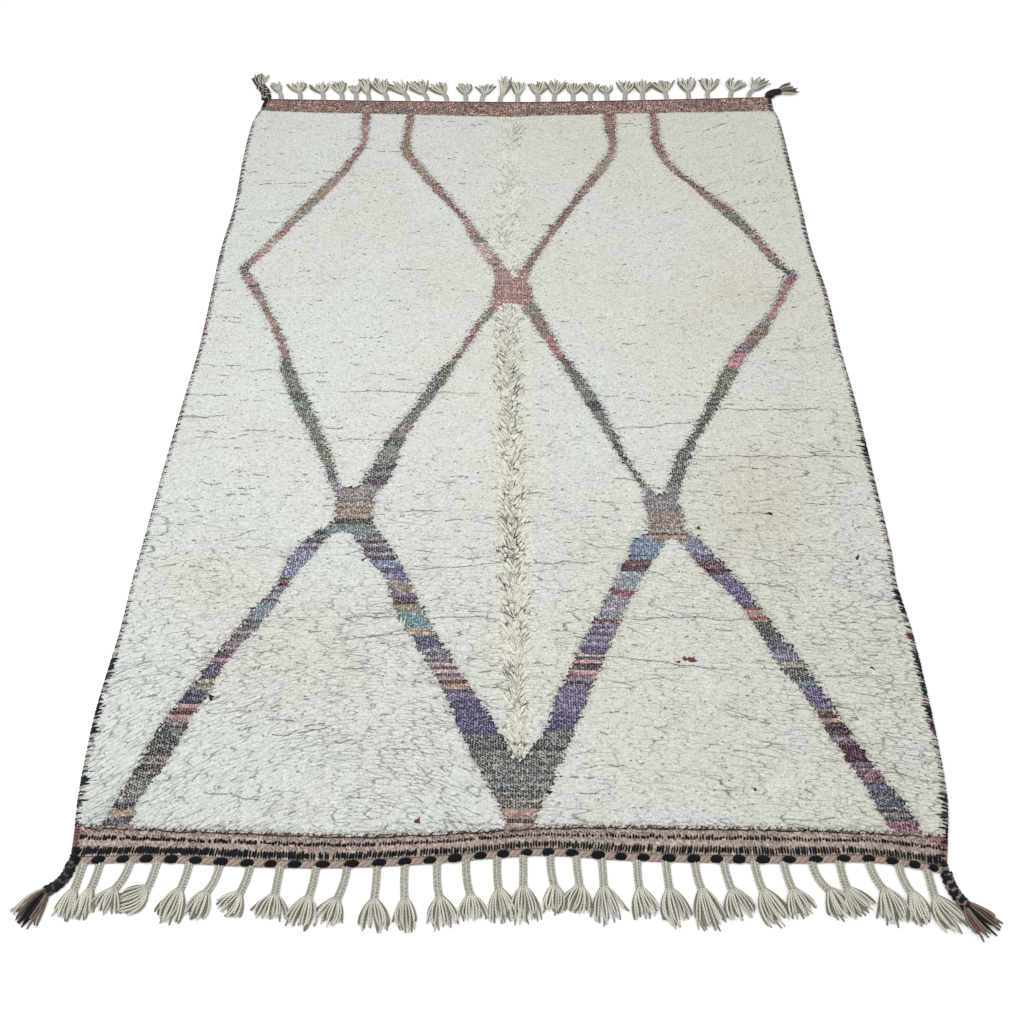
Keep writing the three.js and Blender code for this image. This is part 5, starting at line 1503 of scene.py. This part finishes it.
# %% The corner tassels
# Each corner: side, end, plait's end, fan's tip, fan's width, plait's size, yarns of the plait, and
# those of the fan from one side to the other
CORNERS = {
    "corner_near_left": (
        LEFT, NEAR_EDGE, (-806, -1196), (-838, -1247), 44, 1.35, "black+black+grey",
        "tan+pink_tan+black+black+black+brown+tan+cream+cream",
    ),
    "corner_near_right": (
        RIGHT, NEAR_EDGE, (794, -1208), (826, -1250), 46, 1.35, "black+pink_tan+black",
        "pink_tan+rose+tan+black+black+pink_tan+tan+rose+pink_tan",
    ),
    "corner_far_left": (
        LEFT, FAR_EDGE, (-792, 1212), (-800, 1274), 42, 1.9, "maroon+cream+black",
        "black+cream+maroon+cream+cream+tan+cream+cream+cream",
    ),
    "corner_far_right": (
        RIGHT, FAR_EDGE, (800, 1172), (850, 1190), 50, 1.8, "black+black+plum",
        "pale_pink+tan+cream+mauve+tan+pale_pink+grey+tan+cream",
    ),
}
CORNER_ENDS, CORNER_TURNS, CORNER_STRANDS = 18, 3, 3
# How far out the corner's binding lies from the cloth's corner, and how high
CORNER_OUT, CORNER_HIGH = 4.6, 4.4


def yarn_shades(names, owner, seed):
    """The yarns in turn along the paths, each with a little scatter."""
    yarns = yarn_number(names)
    chosen = OWN_COLOUR[[yarns[k % len(yarns)] for k in range(owner.max() + 1)]]
    return wool_shades(chosen, owner, seed, 0.3)


def corner_tassel(name, side, end, plait_end, tip, spread, size, plait_yarns, fan_yarns, seed):
    """Turns of yarn that bind a corner, a short plait from there, and its fan."""
    out = -1.0 if side == LEFT else 1.0
    away = -1.0 if end == NEAR_EDGE else 1.0
    width = NEAR_EDGE_WIDTH if end == NEAR_EDGE else FAR_EDGE_WIDTH
    x, y = map(float, corner(side, end))
    past = y + away * width
    turn = np.arange(CORNER_TURNS)
    place = y + away * (width + 4.0) * (turn + 0.5) / CORNER_TURNS - away * 2.0
    share = np.array([-0.25, 0.3, 0.75, 1.0, 0.9])
    height = np.array([9.6, 9.4, 7.6, 4.2, 1.9])
    xs = x + out * (0.3 + (SELVEDGE_WIDTH - 1.0) * share)
    paths = np.stack(np.broadcast_arrays(xs, place[:, None] + 1.2 * np.arange(5), height), -1)
    turns = tubes(paths, 3.4, 1.7, 6)
    middle = x + out * CORNER_OUT
    core = [(middle, y - away * 8.0, CORNER_HIGH), (middle, y, CORNER_HIGH), (middle, past, 4.2)]
    core = tubes(np.array([core]), 4.2, 3.9, 7)
    root = np.array([[middle, past - away * PLAIT_ROOTED]])
    plait_end, tip = np.array([plait_end], float), np.array([tip], float)
    plait, _ = plaits(root, plait_end, away, seed, CORNER_STRANDS, size)
    fan = fans(plait_end, tip, np.array([spread * 1.0]), unit(plait_end - root), CORNER_ENDS, seed + 1)
    bound = [
        (*part, yarn_shades(plait_yarns, part[3], seed + 2 + k))
        for k, part in enumerate((turns, core, plait))
    ]
    loose = (*fan, yarn_shades(fan_yarns, fan[3] // 2, seed + 5))
    return bundle(name + "_tassel", yarn_wool, [*bound, loose])


corners = {name: corner_tassel(name, *row, 131.0 + k) for k, (name, row) in enumerate(CORNERS.items())}

# %% [markdown]
# Every piece rides on the one body of the rug, and the parts of the imported model that the pieces
# stand for are hidden. All that is woven, knotted, wound or tied into the cloth goes with it.

# %% Pieces and the frame
cloth_pieces = [*lattice, near_band, far_band, edge_thread, *pile]
edge_pieces = [left_binding, right_binding, near_tassels, far_tassels, *corners.values()]
for piece in (ground, *cloth_pieces, *edge_pieces):
    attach(piece, "root")
for piece in (ground, *cloth_pieces):
    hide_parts("rug_body")
for piece, solid, yarn_slot in (
    (left_binding, "left_selvedge", "left_binding_yarn"),
    (right_binding, "right_selvedge", "right_binding_yarn"),
    (near_tassels, "near_fringe", "near_fringe_yarn"),
    (far_tassels, "far_fringe", "far_fringe_yarn"),
):
    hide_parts(solid)
for name, piece in corners.items():
    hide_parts(name)
print(len(cloth_pieces) + len(edge_pieces), "pieces go with the cloth")

# %% [markdown]
# The rug lies on a plain white floor in the even light of a studio: a bright sky all round, so that
# shadows stay faint, and one broad soft light from the near left that lets the pile show its grain.

# %% Floor and light
FLOOR_HALF = 9.0
floor_corners = [(FLOOR_HALF * a, FLOOR_HALF * b, 0.0) for a, b in ((-1, -1), (1, -1), (1, 1), (-1, 1))]
floor_mesh = bpy.data.meshes.new("floor")
floor_mesh.from_pydata(floor_corners, [], [(0, 1, 2, 3)])
floor = bpy.data.objects.new("floor", floor_mesh)
bpy.context.scene.collection.objects.link(floor)
floor_paint = bpy.data.materials.new("matt_white_floor")
floor_paint.use_nodes = True
floor_paint.node_tree.nodes.clear()
paint = node(floor_paint.node_tree, "ShaderNodeBsdfDiffuse", {"Color": (0.96, 0.96, 0.96, 1.0)})
node(floor_paint.node_tree, "ShaderNodeOutputMaterial", {"Surface": (paint, "BSDF")})
floor_mesh.materials.append(floor_paint)

world = bpy.data.worlds.new("studio")
bpy.context.scene.world = world
world.use_nodes = True
world.node_tree.nodes.clear()
sky = node(world.node_tree, "ShaderNodeBackground", {"Color": (1.0, 1.0, 1.0, 1.0), "Strength": 0.98})
node(world.node_tree, "ShaderNodeOutputWorld", {"Surface": (sky, "Background")})

SOFT_LIGHT = {"place": (-0.6, -0.6, 2.3), "size": 1.4, "watts": 26.0}
light_data = bpy.data.lights.new("soft_light", "AREA")
light_data.size = SOFT_LIGHT["size"]
light_data.energy = SOFT_LIGHT["watts"]
light = bpy.data.objects.new("soft_light", light_data)
light.location = SOFT_LIGHT["place"]
light.rotation_euler = (-Vector(SOFT_LIGHT["place"])).to_track_quat("-Z", "Y").to_euler()
bpy.context.scene.collection.objects.link(light)
print("studio is ready")
